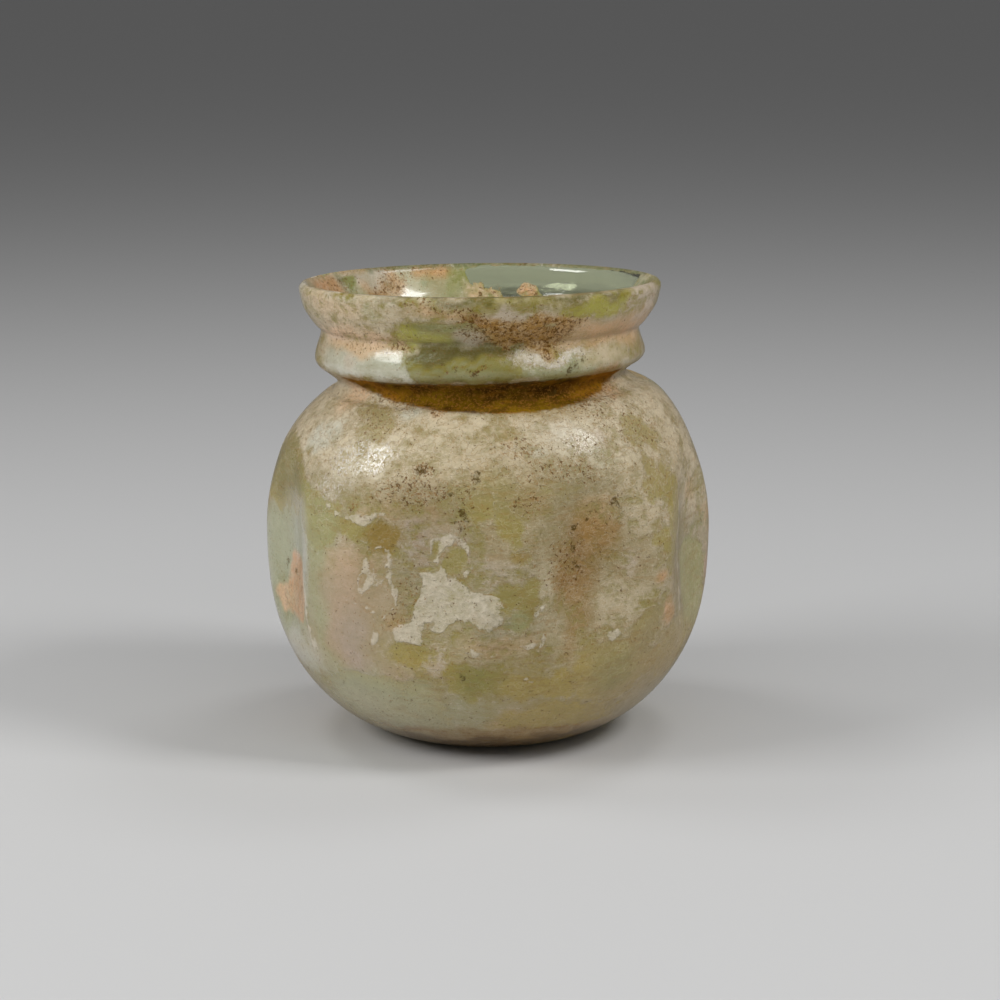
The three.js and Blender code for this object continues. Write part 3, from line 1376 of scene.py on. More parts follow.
def outer_film() -> tuple[Wash, ...]:
    """The film's colours on the outside.

    Returns:
        The washes, from the oldest to the newest.
    """
    return (
        tint(Tone.CREAM, Scatter(16, 0.55, 101, low=30), 0.7, 3),
        tint(Tone.MIST, Scatter(15, 0.3, 102), 0.7, 3),
        tint(Tone.ROSE, Scatter(13, 0.25, 103, high=45), 0.7, 3),
        tint(Tone.TAN, Scatter(9, 0.28, 104), 0.7, 1.5),
        tint(Tone.STAIN, Scatter(9, 0.2, 105), 0.8, 1.5),
        tint(Tone.PEARL, Scatter(10, 0.2, 106, high=40), 0.6, 2),
        # Shoulder, upper body and the olive lower body
        # Painted glow: the lower body paler and yellower, for light passing through the glass
        tint(Tone.STRAW_GLOW, Patch(0, 8, 180, 13, power=8), 0.35, 5),
        tint(Tone.CREAM, Patch(0, 55, 120, 6.8, power=8), 0.9, 2.5),
        tint(Tone.CREAM, Patch(-24, 49, 14, 5), 0.8, 2),
        tint(Tone.BUFF, Patch(-20, 45, 15, 3), 0.7, 1.5),
        tint(Tone.TAN, Patch(-28, 42.5, 5, 1.5), 0.45, 1),
        tint(Tone.RUST, Patch(-16, 42.2, 3.5, 1.4), 0.35, 1.2),
        tint(Tone.ROSE, Patch(-17, 40.6, 7, 2.6), 0.45, 1.5),
        tint(Tone.PEARL, Patch(-15, 37.4, 6, 2.2), 0.5, 1.5),
        tint(Tone.BUFF, Patch(22, 48, 22, 2.5), 0.8, 1.5),
        # Painted shade: a broad darker wash over the upper middle
        tint(Tone.BUFF, Patch(2, 42, 30, 10), 0.5, 5),
        tint(Tone.BUFF, Patch(60, 48, 14, 7), 0.4, 3),
        # Painted shade: a faint broad darkening over the upper middle
        tint(Tone.STAIN, Patch(2, 42, 26, 9), 0.15, 5),
        tint(Tone.OLIVE, Patch(2, 46, 9, 3), 0.6, 2),
        tint(Tone.STAIN, Patch(11, 45.3, 3, 2), 0.6, 1.2),
        tint(Tone.ICE, Patch(-57, 53, 7, 2.3), 0.7, 1),
        tint(Tone.ICE, Patch(-29, 57.6, 3.5, 0.9), 0.7, 0.5),
        tint(Tone.RUST, Patch(-58, 58.3, 8, 1.6), 0.5, 1),
        tint(Tone.RUST, Patch(-20, 57.9, 5, 0.8), 0.45, 0.4),
        tint(Tone.RUST, Patch(8, 54.2, 2.6, 0.9), 0.6, 0.6),
        tint(Tone.ICE, Patch(15, 51.6, 2.6, 0.9), 0.6, 0.5),
        tint(Tone.HONEY, Patch(15.2, 52.3, 0.9, 0.4), 0.9, 0.3),
        # Painted highlight: silvery white on the right shoulder where the lamps' reflection falls
        tint(Tone.SILVER, Patch(22, 55.5, 9, 1.6), 0.2, 1.5),
        tint(Tone.SILVER, Patch(28, 53, 8, 2.4), 0.15, 1.5),
        tint(Tone.MIST, Patch(34, 51.4, 5, 1.2), 0.4, 0.8),
        tint(Tone.PEARL, Patch(37, 54.6, 3.5, 1), 0.7, 0.6),
        # The stain right of the middle and the film round it
        tint(Tone.BUFF, Patch(30, 37, 19, 13), 0.75, 3),
        tint(Tone.BUFF, Patch(16.5, 33, 3.8, 5.5), 0.6, 1.5),
        tint(Tone.BUFF, Patch(25, 33, 13, 13), 0.5, 3),
        tint(Tone.STAIN, Patch(29, 40, 8.5, 4.6, lean=-20), 0.9, 2),
        tint(Tone.STAIN, Patch(22.5, 31.5, 6, 5.5, lean=15), 0.85, 2),
        tint(Tone.OCHRE, Patch(28, 40.5, 6, 3.2, lean=-20), 0.3, 1.5),
        tint(Tone.SOIL, Patch(22.5, 36.5, 3.2, 4.5, lean=25), 0.5, 1.5),
        tint(Tone.SOIL, Patch(20.5, 31.2, 3.2, 2.2), 0.45, 1.2),
        tint(Tone.SOIL, Patch(30.5, 38, 2.2, 3), 0.3, 1.2),
        tint(Tone.STAIN, Patch(22.5, 24.5, 3, 4), 0.75, 1.2),
        tint(Tone.TAN, Patch(31, 43.5, 6, 2), 0.5, 1),
        tint(Tone.PEARL, Patch(39, 34, 3, 1.6), 0.6, 0.8),
        tint(Tone.CREAM, Patch(38, 28.4, 8.5, 2.8), 0.6, 1.2),
        tint(Tone.CREAM, Patch(34, 24.3, 5, 2), 0.5, 0.9),
        tint(Tone.CREAM, Patch(44, 43, 4, 4.5), 0.7, 1),
        tint(Tone.RUST, Patch(52.5, 24.6, 2.8, 2.2), 0.6, 0.8),
        tint(Tone.RUST, Patch(48, 31, 2.2, 1), 0.6, 0.7),
        tint(Tone.BUFF, Patch(56, 29, 5, 6), 0.5, 1.5),
        tint(Tone.CREAM, Patch(78, 47, 16, 10), 0.75, 3),
        tint(Tone.TAN, Patch(76, 42, 4, 2.5), 0.5, 1),
        # The middle
        tint(Tone.PEARL, Patch(-21, 38, 1.4, 2.8), 0.6, 0.6),
        tint(Tone.PEARL, Patch(1, 34.5, 7, 2.5), 0.5, 1.5),
        tint(Tone.PEARL, Patch(-9, 35.6, 7, 4.6), 0.45, 1.5),
        tint(Tone.LILAC, Patch(-19, 38.5, 3, 3.4), 0.6, 1.5),
        tint(Tone.CREAM, Patch(13.2, 31.5, 2.2, 4.2), 0.6, 0.7),
        tint(Tone.BUFF, Patch(-23, 28.5, 4.2, 3.6), 0.8, 0.9),
        tint(Tone.RUST, Patch(-23.5, 26, 2.8, 0.9), 0.5, 0.5),
        tint(Tone.TAN, Patch(3, 22.5, 8, 2), 0.5, 1.2),
        tint(Tone.ROSE, Patch(2, 22.4, 3, 0.8), 0.6, 0.6),
        # Painted shade: faint dark washes that darken the middle, the tan spots and the upper right
        tint(Tone.DARK_SAGE, Patch(5, 36, 25, 12), 0.13, 5),
        tint(Tone.DARK_SAGE, Patch(27, 47, 12, 4), 0.17, 2.5),
        tint(Tone.DARK_SAGE, Patch(-21, 29, 5, 5), 0.2, 2),
        tint(Tone.SOIL, Patch(25, 34, 5, 5.5), 0.2, 2),
        # The pearly left side
        tint(Tone.MIST, Patch(-74, 29, 22, 12), 0.95, 3),
        tint(Tone.SAGE, Patch(-50, 38, 10, 6), 0.7, 2),
        tint(Tone.TAN, Patch(-36, 34.2, 7, 2.2), 0.55, 2.5),
        tint(Tone.ROSE, Patch(-37, 24.5, 8.5, 10.5, lean=-8), 0.85, 3.5),
        tint(Tone.LILAC, Patch(-35.5, 20, 5, 5.5), 0.75, 2.5),
        tint(Tone.BUFF, Patch(-28, 21, 4, 9), 0.5, 2.5),
        tint(Tone.SAGE, Patch(-47.5, 25, 3, 12), 0.75, 2),
        tint(Tone.ICE, Patch(-55.5, 32, 2.4, 5.5), 0.7, 1),
        tint(Tone.ICE, Patch(-61, 16, 11, 5), 0.75, 2),
        tint(Tone.RUST, ORANGE_FILM, 0.8, 0.35),
        tint(Tone.TAN, Patch(-70, 24.6, 9, 1.9), 0.95, 0.35),
        # The lower body
        tint(Tone.MIST, Patch(-32, 9.5, 30, 6.5), 0.8, 3),
        tint(Tone.ICE, Patch(-34, 9, 22, 5), 0.35, 3),
        tint(Tone.CREAM, FOOT_LEFT, 0.3, 3),
        tint(Tone.BUFF, Patch(44, 14, 18, 6), 0.5, 3),
        tint(Tone.ROSE, Patch(-24, 15.7, 4.5, 2.4), 0.6, 1.4),
        tint(Tone.STAIN, Patch(-14.5, 12.8, 5, 2), 0.5, 1.2),
        tint(Tone.PEARL, Patch(-13.5, 19, 2.6, 3), 0.6, 0.8),
        tint(Tone.TAN, Patch(10, 8.6, 10, 2), 0.8, 1),
        tint(Tone.STAIN, Patch(10, 5.0, 40, 1.6, power=4), 0.6, 0.8),
        # Painted contact shadow along the foot
        tint(Tone.GRAIN_AND_SHADOW, FOOT_SHADOW, 0.8, 0.6),
        # Mouth and collar
        tint(Tone.SAGE, Band(Patch(150, 75, 72, 20, power=6), 74.2, 76.5), 0.7, 0.3),
        tint(Tone.DARK_SAGE, BACK_LIP, 0.9, 0.2),
        tint(Tone.CREAM, Patch(-62, 71.5, 38, 6, power=4), 0.75, 2),
        tint(Tone.PEACH, Patch(-55, 73.5, 14, 1.6), 0.35, 1),
        tint(Tone.PEACH, Patch(-52, 68.2, 20, 2.6), 0.85, 1.2),
        tint(Tone.TAN, Patch(-31, 69, 4.5, 2.4), 0.7, 0.8),
        tint(Tone.SAGE, Patch(-38, 73, 3, 1), 0.6, 0.8),
        tint(Tone.ICE, Patch(-46, 63.6, 24, 2.1, power=4), 0.85, 0.6),
        tint(Tone.PEARL, Patch(-52, 64.2, 4, 1.4), 0.6, 0.8),
        tint(Tone.ICE, Patch(-86, 73, 9, 4), 0.6, 1.5),
        tint(Tone.PEARL, Patch(-6, 69, 6, 1.7), 0.7, 0.6),
        tint(Tone.OCHRE, Patch(13, 70.4, 19, 3.2, power=3), 0.95, 0.8),
        tint(Tone.STAIN, Patch(12, 69.5, 12, 1.6), 0.3, 1),
        tint(Tone.OCHRE, Patch(-2, 72.6, 7, 2), 0.7, 1),
        tint(Tone.SOIL, Patch(-3.5, 73, 4, 1.6), 0.7, 0.6),
        tint(Tone.TAN, Patch(-15, 74.4, 9, 1.3), 0.75, 0.6),
        tint(Tone.PEARL, Patch(8, 74.2, 11, 0.6), 0.6, 0.4),
        # Painted highlight along the top of the lip on the left
        tint(Tone.WHITE, Patch(-48, 76.1, 44, 0.7, power=4), 0.7, 0.4),
        tint(Tone.OLIVE, Patch(20, 75.6, 40, 0.8, power=4), 0.7, 0.5),
        tint(Tone.DEEP_OLIVE, LIP_EDGE, 0.8, 0.25),
        tint(Tone.TAN, RIGHT_FLARE, 0.9, 1),
        tint(Tone.RUST, Patch(50, 69.5, 12, 1.6), 0.4, 1),
        tint(Tone.SAGE, Patch(21, 71.3, 2.2, 0.9), 0.7, 0.3),
        tint(Tone.PEARL, Patch(62, 74, 11, 3), 0.7, 1.2),
        tint(Tone.MIST, Patch(28, 64.4, 17, 1.5, power=3), 0.8, 0.6),
        # Painted highlight along the collar on the right
        tint(Tone.WHITE, Patch(24, 66.4, 16, 0.5), 0.6, 0.4),
        tint(Tone.TAN, Patch(30, 67.4, 16, 0.7), 0.6, 0.5),
        tint(Tone.CREAM, Patch(50, 65.3, 13, 1.6, power=3), 0.9, 0.6),
        tint(Tone.SAGE, Patch(22, 63.6, 15, 0.9), 0.75, 0.4),
        tint(Tone.PEARL, Patch(14.5, 63, 2.6, 0.5), 0.8, 0.3),
        tint(Tone.RUST, Patch(56, 60, 8, 1.4), 0.5, 0.8),
        # The deposit in the neck's groove
        tint(Tone.DARK_AMBER, Band(Patch(-1, 62.6, 64, 4.9), 56.8, 61.4), 1.0, 0.2),
        tint(Tone.ORANGE_AMBER, Patch(50, 61, 14, 1.8), 0.9, 1),
        tint(Tone.ORANGE_AMBER, Patch(-48, 60.5, 14, 1.2), 0.8, 0.8),
        tint(Tone.AMBER, Patch(18, 58.2, 16, 1.3), 0.7, 0.8),
        tint(Tone.AMBER, Patch(-20, 59.0, 9, 1.0), 0.6, 0.8),
    )


def outer_ground() -> tuple[Wash, ...]:
    """The tints of the glass where the film is gone, on the outside.

    Returns:
        The washes, from the oldest to the newest.
    """
    return (
        tint(Tone.BUFF, Patch(0, 53, 180, 8, power=8), 0.5, 4),
        # Painted glow: the glass low on the body paler and yellower, for light passing through it
        tint(Tone.STRAW_GLOW, Patch(0, 8, 180, 12, power=8), 0.75, 4),
        tint(Tone.BUFF, Patch(48, 17, 20, 9), 0.6, 3),
        tint(Tone.SAGE, Scatter(14, 0.5, 111), 0.8, 3),
        tint(Tone.MOSS, Scatter(11, 0.3, 112), 0.7, 2),
        tint(Tone.SAGE, Patch(-76, 28, 24, 10), 0.8, 3),
        tint(Tone.MIST, Patch(-34, 10, 26, 6), 0.8, 3),
        tint(Tone.OLIVE, Patch(-70, 45, 18, 6), 0.8, 2),
        tint(Tone.DARK_SAGE, Patch(-72, 46, 15, 5), 0.35, 2),
        tint(Tone.SAGE, Patch(-48, 40, 8, 5), 0.5, 2),
        tint(Tone.HONEY, Patch(-26.5, 38, 4.6, 2.8), 1.0, 0.7),
        tint(Tone.HONEY, Patch(11, 28.2, 1.5, 1.2), 0.6, 0.6),
        tint(Tone.SAGE, Patch(7, 26.7, 3.4, 1.3), 0.6, 0.5),
        tint(Tone.STAIN, Patch(6, 37, 2.4, 1.4), 0.5, 0.5),
        tint(Tone.MOSS, Patch(-3, 16.5, 6, 3), 0.6, 2.5),
        tint(Tone.MOSS, Patch(37, 16.5, 6, 3.5), 0.35, 2.5),
        tint(Tone.STAIN, Patch(25, 36, 9, 8), 0.6, 3),
        tint(Tone.MOSS, Patch(-57, 43.6, 4, 1), 0.5, 0.6),
        tint(Tone.LIME, Patch(-49, 45.6, 3, 1), 0.3, 0.6),
        tint(Tone.SAGE, Patch(76, 27, 10, 9), 0.5, 2),
        # Painted shade: a faint dark wash over the middle
        tint(Tone.DARK_SAGE, Patch(5, 34, 25, 12), 0.1, 5),
        tint(Tone.CREAM, FOOT_LEFT, 0.3, 3),
        tint(Tone.SOIL, Patch(4, 4.6, 44, 1.4, power=4), 0.8, 0.8),
        # Painted contact shadow along the foot
        tint(Tone.GRAIN_AND_SHADOW, FOOT_SHADOW, 0.8, 0.6),
        tint(Tone.PEACH, ORANGE_FILM, 0.95, 0.35),
        tint(Tone.PEACH, Patch(-70, 24.6, 9, 2.2), 0.95, 0.35),
        # The mouth and the collar, with their clear windows
        tint(Tone.BUFF, Patch(-62, 71.5, 40, 7, power=4), 0.8, 2),
        tint(Tone.BUFF, Patch(62, 70, 28, 8, power=4), 0.7, 2),
        tint(Tone.BOTTLE, Patch(0, 69, 90, 8.5, power=8), 1.0, 0.6),
        tint(Tone.OCHRE, Patch(13, 70.4, 17, 2.8, power=3), 0.95, 1),
        tint(Tone.TAN, RIGHT_FLARE, 0.8, 1),
        tint(Tone.SAGE, Patch(-11, 70, 13, 2.2, power=4), 0.5, 1),
        tint(Tone.LIME, Patch(-26.3, 70.4, 3, 1.8), 1.0, 0.6),
        tint(Tone.MOSS, Patch(-12, 70.6, 10, 1.4), 0.3, 0.8),
        tint(Tone.LIME, Patch(-19, 68.8, 7, 1.1), 0.8, 0.8),
        tint(Tone.PEARL, Patch(-5, 69, 5, 1.6), 0.8, 0.6),
        tint(Tone.DEEP_OLIVE, Patch(-7, 67, 21, 0.9, power=4), 0.95, 0.4),
        tint(Tone.SAGE, Patch(-10, 63.4, 18, 0.8, power=4), 0.55, 0.4),
        tint(Tone.SAGE, Patch(-8, 65.1, 19, 0.3, power=4), 0.7, 0.3),
        tint(Tone.DEEP_OLIVE, Patch(-8, 62.1, 20, 0.35, power=4), 0.95, 0.2),
        tint(Tone.LIME, Patch(38, 74.3, 13, 1.7), 0.85, 0.6),
        tint(Tone.DARK_SAGE, BACK_LIP, 0.9, 0.2),
        tint(Tone.DEEP_OLIVE, LIP_EDGE, 0.8, 0.25),
    )


def outer_reliefs() -> dict[Relief, tuple[Region, ...]]:
    """The layers with crisp edges on the outside.

    Returns:
        Each layer's regions.
    """
    windows = (
        Scatter(12, 0.36, 121, high=56),
        Scatter(6, 0.08, 122, low=54),
        Patch(-77, 45.5, 12, 5.6, lean=12),
        Patch(-66, 48, 6, 3, lean=-20),
        Patch(-62, 43.5, 8, 4.5),
        Patch(-48, 40.5, 9, 4.5),
        Patch(-45, 56.8, 3.5, 1.0),
        Patch(-38.5, 56.2, 5.2, 1.8),
        Patch(-36.5, 54.8, 3.3, 0.9),
        Patch(-34, 39.8, 6, 1.7),
        Patch(-26.5, 38.2, 4.2, 2.6, power=2.6),
        Patch(-8.4, 35.2, 3.3, 2.3),
        Patch(-13.2, 36.9, 1.0, 0.7),
        Patch(-16.5, 34.3, 3.6, 0.6),
        Patch(6.2, 30.7, 5.2, 2.5, power=5),
        Patch(8, 26.8, 3.0, 1.4, power=4),
        Patch(6, 41.5, 3.0, 2.6),
        Patch(6.2, 37, 2.1, 1.0, power=4),
        Patch(-1.5, 44, 3.5, 2.2),
        Patch(-19.5, 20.8, 5.5, 1.7, power=3),
        Patch(-34, 10, 24, 5.5),
        Patch(-4, 16.2, 7, 2.8),
        Patch(14, 15, 13, 2.6),
        Patch(38, 16.2, 14, 5.2),
        Patch(45, 23.2, 4.3, 2.8),
        Patch(60, 18, 9, 6),
        Patch(24, 8.5, 22, 3.2),
        Patch(52, 53, 5.5, 2.4, lean=-20),
        Patch(56, 42, 4.2, 6),
        Patch(50, 46, 2.6, 2.6),
        Patch(50, 37, 2.6, 1.8),
        Patch(75, 26.5, 9, 7.4, power=2.6),
    )
    flakes = (
        Scatter(7, 0.07, 123, low=14),
        Patch(-14.5, 29.3, 4.6, 3.9, power=4),
        Patch(-8, 28.4, 5, 3.2, power=3),
        Patch(-1.5, 28.4, 4, 2.2),
        Patch(-20, 24.3, 4.4, 1.6, power=4),
        Patch(-10.3, 24.9, 2.8, 0.9),
        Patch(-16, 32.6, 3.6, 0.8),
        Patch(-8.4, 35.2, 4.5, 3.3, ring=0.26),
        Patch(-9.7, 38.0, 1.5, 0.9),
        Patch(-13.5, 37, 1.8, 1.2, ring=0.12),
        Patch(-28.3, 34.6, 3.4, 2.0, ring=0.22),
        Patch(-30.8, 31.5, 1.2, 1.8, ring=0.22),
        Patch(-26.7, 29.3, 0.45, 2.6),
        Patch(-31, 26.4, 3, 0.2, lean=-8),
        Patch(-29.5, 22.5, 0.4, 2.2, lean=10),
        Patch(-54.2, 25, 0.8, 7.5, lean=3),
        Patch(-52.6, 17.3, 0.5, 2.6, lean=-14),
        Patch(-44.6, 43.4, 0.9, 1.1),
        Patch(-34, 41.6, 6, 0.5, power=3),
        Patch(12.5, 27.2, 1.1, 1.0, lean=-20),
        Patch(15.4, 24.6, 0.4, 2.6, lean=-32),
        Patch(36, 22.8, 2.6, 0.8, lean=15),
        Patch(5, 24.2, 1.3, 0.22),
        Patch(8, 21.8, 2.2, 0.22, lean=8),
        Patch(-2, 20.9, 3, 0.22, lean=5),
        Patch(2.4, 27.9, 0.7, 1.1),
        Patch(62, 33, 0.9, 11),
        Patch(10.6, 16.8, 0.6, 0.35),
        # These two: pale flakes where the collar's highlights fall, a painted highlight
        Patch(-35.5, 66.8, 1.8, 0.35),
        Patch(24, 66.4, 13, 0.35),
    )
    bare = (
        Patch(-14, 69.8, 15.5, 2.1, power=6),
        Patch(-8, 64.9, 19.5, 2.7, power=7),
        Patch(38, 74.3, 12.5, 1.5, lean=4, power=3),
        Band(Patch(158, 68, 50, 20, power=4), 65.5, 74.9),
        Patch(106, 71.5, 11, 3.2),
        Patch(128, 65.5, 13, 2.6),
        Patch(168, 64.6, 20, 2.2),
        Patch(-146, 70, 15, 4.2),
    )
    deposit = (
        Band(Patch(-1, 62.6, 64, 4.9), 56.0, 61.4),
        Band(Patch(180, 60, 90, 2.4, power=5), 57.6, 61.3),
    )
    blots = (
        Patch(-4.3, 49, 1.0, 0.6),
        Patch(-4, 47.2, 0.9, 0.5),
        Patch(-9.3, 46, 0.7, 0.35),
        Patch(-4.6, 42.3, 1.2, 0.8),
        Patch(-9, 43, 0.35, 0.25),
        Patch(-7, 40.6, 0.5, 0.3),
        Patch(21.5, 37.2, 0.8, 0.5),
        Patch(23, 34.7, 0.9, 0.22, lean=-40),
        Patch(19, 31.8, 0.3, 0.22),
        Patch(17.5, 30.5, 0.4, 0.25),
        Patch(21.5, 40.6, 0.7, 0.3),
        Patch(26, 41.5, 0.5, 0.35),
        Patch(36.2, 43.6, 1.3, 0.5),
        Patch(-19.8, 26, 0.6, 0.35),
        Patch(-66, 29, 3.4, 0.22, lean=-5),
        Patch(-61, 28.4, 2.2, 0.3, lean=-20),
        Patch(47.8, 31.2, 0.5, 0.3),
        Patch(13.6, 61.8, 1.3, 0.3),
        Patch(24.3, 60.4, 1.6, 0.35),
        Patch(-8.6, 60.4, 1.2, 0.5),
        Patch(-10, 61.3, 1.3, 0.25),
        Patch(-12.5, 59.2, 0.6, 0.25),
        Patch(-6.5, 17, 0.5, 0.3),
        Patch(7, 14.3, 0.5, 0.25),
        Patch(10.8, 14.5, 0.6, 0.22),
        Patch(31, 64.4, 1.6, 0.35),
        Patch(36.5, 65.2, 0.8, 0.35),
        Patch(-17.5, 49.2, 3.0, 0.5),
        Patch(163, 76.2, 1.2, 0.6),
        Patch(154, 76.2, 0.6, 0.35),
    )
    return {
        Relief.WINDOW: windows,
        Relief.FLAKE: flakes,
        Relief.BARE: bare,
        Relief.DEPOSIT: deposit,
        Relief.BLOT: blots,
    }


def outer_amounts() -> dict[Amount, tuple[Wash, ...]]:
    """How grainy, glassy and bright the outside is.

    Returns:
        Each kind's washes.
    """
    everywhere = Scatter(20, 0.97, 131, everywhere=True)
    grit = (
        Wash(everywhere, 0.12, 1),
        Wash(Scatter(9, 0.3, 132), 0.5, 2),
        Wash(Patch(13, 70.4, 21, 3.4, power=3), 0.85, 1),
        Wash(Patch(-3, 73, 6, 1.8), 0.9, 0.6),
        Wash(Patch(-16, 75, 12, 1.2), 0.6, 0.6),
        Wash(Patch(-50, 68, 17, 2), 0.45, 1),
        Wash(Patch(-31, 69, 4.5, 2.2), 0.6, 0.6),
        Wash(Patch(0, 60, 70, 2.4), 0.7, 0.8),
        Wash(Patch(-20, 57.8, 6, 0.8), 0.8, 0.4),
        Wash(Patch(-20, 45.8, 14, 2.8), 0.6, 1.2),
        Wash(Patch(-17.5, 49.2, 3.6, 0.9), 1.0, 0.3),
        Wash(Patch(-6, 44, 4, 6), 0.45, 1.5),
        Wash(Patch(-36, 43.5, 3, 1.2), 0.6, 0.8),
        Wash(Patch(20, 49, 12, 2), 0.5, 1),
        Wash(Patch(11, 45.5, 3, 2), 0.6, 1),
        Wash(Patch(20, 34, 6, 6), 0.5, 1.5),
        Wash(Patch(31, 42, 7, 3), 0.35, 1.5),
        Wash(Patch(52, 54, 9, 4), 0.4, 1.5),
        Wash(Patch(-23, 28.5, 4.5, 3.5), 0.5, 1),
        Wash(Patch(12, 52.5, 8, 1.6), 0.55, 0.8),
        Wash(Patch(28, 53, 7, 2.2), 0.4, 0.8),
        Wash(Patch(45, 57, 14, 1.5), 0.45, 1),
        Wash(Patch(-38, 56.3, 8, 2.2), 0.4, 0.8),
        Wash(Patch(-7, 64.3, 11, 0.35), 0.9, 0.2),
    )
    crust = (
        Wash(everywhere, 0.15, 1),
        Wash(Scatter(12, 0.5, 133, low=30), 0.7, 3),
        Wash(Patch(0, 54.5, 130, 7, power=8), 0.8, 2),
        Wash(Patch(-22, 47.5, 16, 4), 0.7, 2),
        Wash(Patch(48, 46, 16, 9), 0.7, 2),
        Wash(Patch(28, 30, 18, 10), 0.35, 3),
        Wash(Patch(-64, 26.5, 10, 4.6), 1.0, 0.4),
        Wash(Patch(-60, 71.5, 40, 7, power=4), 0.5, 2),
        Wash(Patch(18, 70, 24, 5), 0.5, 1.5),
        Wash(Patch(-23, 28, 8, 6), 0.4, 2),
        Wash(Patch(-48, 45, 9, 3), 0.7, 1),
    )
    gloss = (
        Wash(Cut(Scatter(18, 0.35, 134, high=46), (Patch(28, 53, 20, 8),)), 0.7, 4),
        Wash(Cut(Patch(-66, 28, 26, 15), (Patch(-62, 27, 8, 6), Patch(-70, 24.6, 10, 4))), 0.8, 1.5),
        Wash(Patch(-38, 21, 15, 15), 1.0, 4),
        Wash(Band(Patch(-44, 64, 24, 20, power=5), 62.5, 67.4), 1.0, 0.5),
        Wash(Patch(38, 64.6, 26, 1.8, power=4), 0.8, 0.6),
        Wash(Band(Patch(-8, 64, 20, 20, power=6), 62.4, 67.2), 0.7, 0.5),
        Wash(Patch(0, 8, 80, 6), 0.4, 3),
    )
    # Silvery film: smoother and coated, and strewn with painted glint specks; the patches sit where the
    # shoulders' and the collar's highlights fall
    silver = (
        Wash(Scatter(8, 0.12, 135, low=40), 0.5, 2),
        Wash(Patch(-37, 51.2, 10, 2.8, lean=8), 1.0, 1.2),
        Wash(Patch(-44, 46.3, 6, 1.6), 0.6, 0.8),
        Wash(Patch(27, 53.3, 9, 2.8), 0.3, 1.5),
        Wash(Patch(24, 66.2, 15, 0.8), 0.9, 0.5),
        Wash(Patch(-36, 66.8, 6, 0.6), 0.7, 0.3),
    )
    clear = (
        Wash(Patch(0, 69, 75, 9, power=8), 0.16, 1),
        Wash(CLEAR_BACK, 0.94, 1),
    )
    return {
        Amount.GRIT: grit,
        Amount.CRUST: crust,
        Amount.GLOSS: gloss,
        Amount.SILVER: silver,
        Amount.CLEAR: clear,
    }


def inner_weathering() -> Weathering:
    """What burial left inside the jar, most of it seen through the mouth.

    Returns:
        The weathering.
    """
    film = (
        tint(Tone.CREAM, Scatter(12, 0.35, 141, everywhere=True), 0.7, 2),
        tint(Tone.STAIN, Scatter(10, 0.3, 142, everywhere=True), 0.7, 2),
        tint(Tone.SAGE, Scatter(9, 0.25, 143, everywhere=True), 0.7, 1.5),
        tint(Tone.RUST, Patch(-109, 74, 10, 3), 0.8, 0.8),
        tint(Tone.SAGE, Patch(-127, 73, 6, 4), 0.8, 0.8),
        tint(Tone.MOSS_GRAIN, Patch(-122, 75, 3, 1.5), 0.8, 0.5),
        tint(Tone.CREAM, Patch(-140, 73, 14, 4), 0.8, 0.8),
        tint(Tone.RUST, Patch(-139, 71.8, 9, 2.4), 0.8, 0.8),
        tint(Tone.SOIL, Patch(-138, 71.2, 5, 1.2), 0.7, 0.8),
        tint(Tone.RUST, Patch(-160, 74.5, 7, 1.8), 0.9, 0.6),
        tint(Tone.MOSS, Patch(-169, 72.5, 4, 3), 0.8, 0.6),
        tint(Tone.MIST, Patch(104, 73, 14, 6), 0.8, 1),
        tint(Tone.DARK_SAGE, BACK_LIP, 0.9, 0.2),
        # Painted highlights where the lamps' reflections fall on the back inner wall: pearl near the lip,
        # cream lower down
        tint(Tone.PEARL, Patch(-136, 74.2, 12, 1.7), 0.9, 0.5),
        tint(Tone.CREAM, Patch(-151, 72.5, 4, 2.4), 0.8, 0.5),
        tint(Tone.TAN, Patch(178, 70, 8, 2.0, power=4), 0.95, 0.4),
        tint(Tone.RUST, Patch(162, 69.6, 5, 1.4), 0.8, 0.4),
    )
    windows = (
        Scatter(10, 0.35, 144, high=66, everywhere=True),
        Patch(-125, 74, 3, 2),
    )
    bare = (
        Cut(
            Band(Patch(150, 68, 41, 20, power=6), 66.0, 75.0),
            (
                Patch(179, 69.2, 6.5, 2.4, power=4),
                Patch(161, 69.0, 5, 1.6, power=3),
                Patch(192, 69, 7, 5),
                Patch(-163, 74.6, 9, 2.2),
            ),
        ),
        Patch(0, 70, 60, 5, power=4),
    )
    blots = (
        Patch(163, 75.9, 1.6, 0.7),
        Patch(154, 76, 0.7, 0.35),
        Patch(133, 76, 0.7, 0.35),
    )
    reliefs = {Relief.WINDOW: windows, Relief.BARE: bare, Relief.BLOT: blots}
    amounts = {
        Amount.GRIT: (
            Wash(Scatter(9, 0.5, 145, everywhere=True), 0.5, 2),
            Wash(Patch(-140, 71.5, 9, 2.5), 0.7, 1),
        ),
        Amount.CRUST: (Wash(Scatter(9, 0.5, 146, everywhere=True), 0.6, 2),),
        Amount.GLOSS: (
            Wash(Scatter(9, 0.5, 147, everywhere=True), 0.5, 2),
            Wash(Patch(-145, 72.5, 34, 6), 1.0, 1),
        ),
        Amount.CLEAR: (
            Wash(CLEAR_BACK, 0.94, 1),
            Wash(Patch(0, 70, 60, 6), 0.7, 1),
        ),
    }
    return Weathering(film, (), reliefs, amounts, Tone.BUFF, Tone.MOSS)


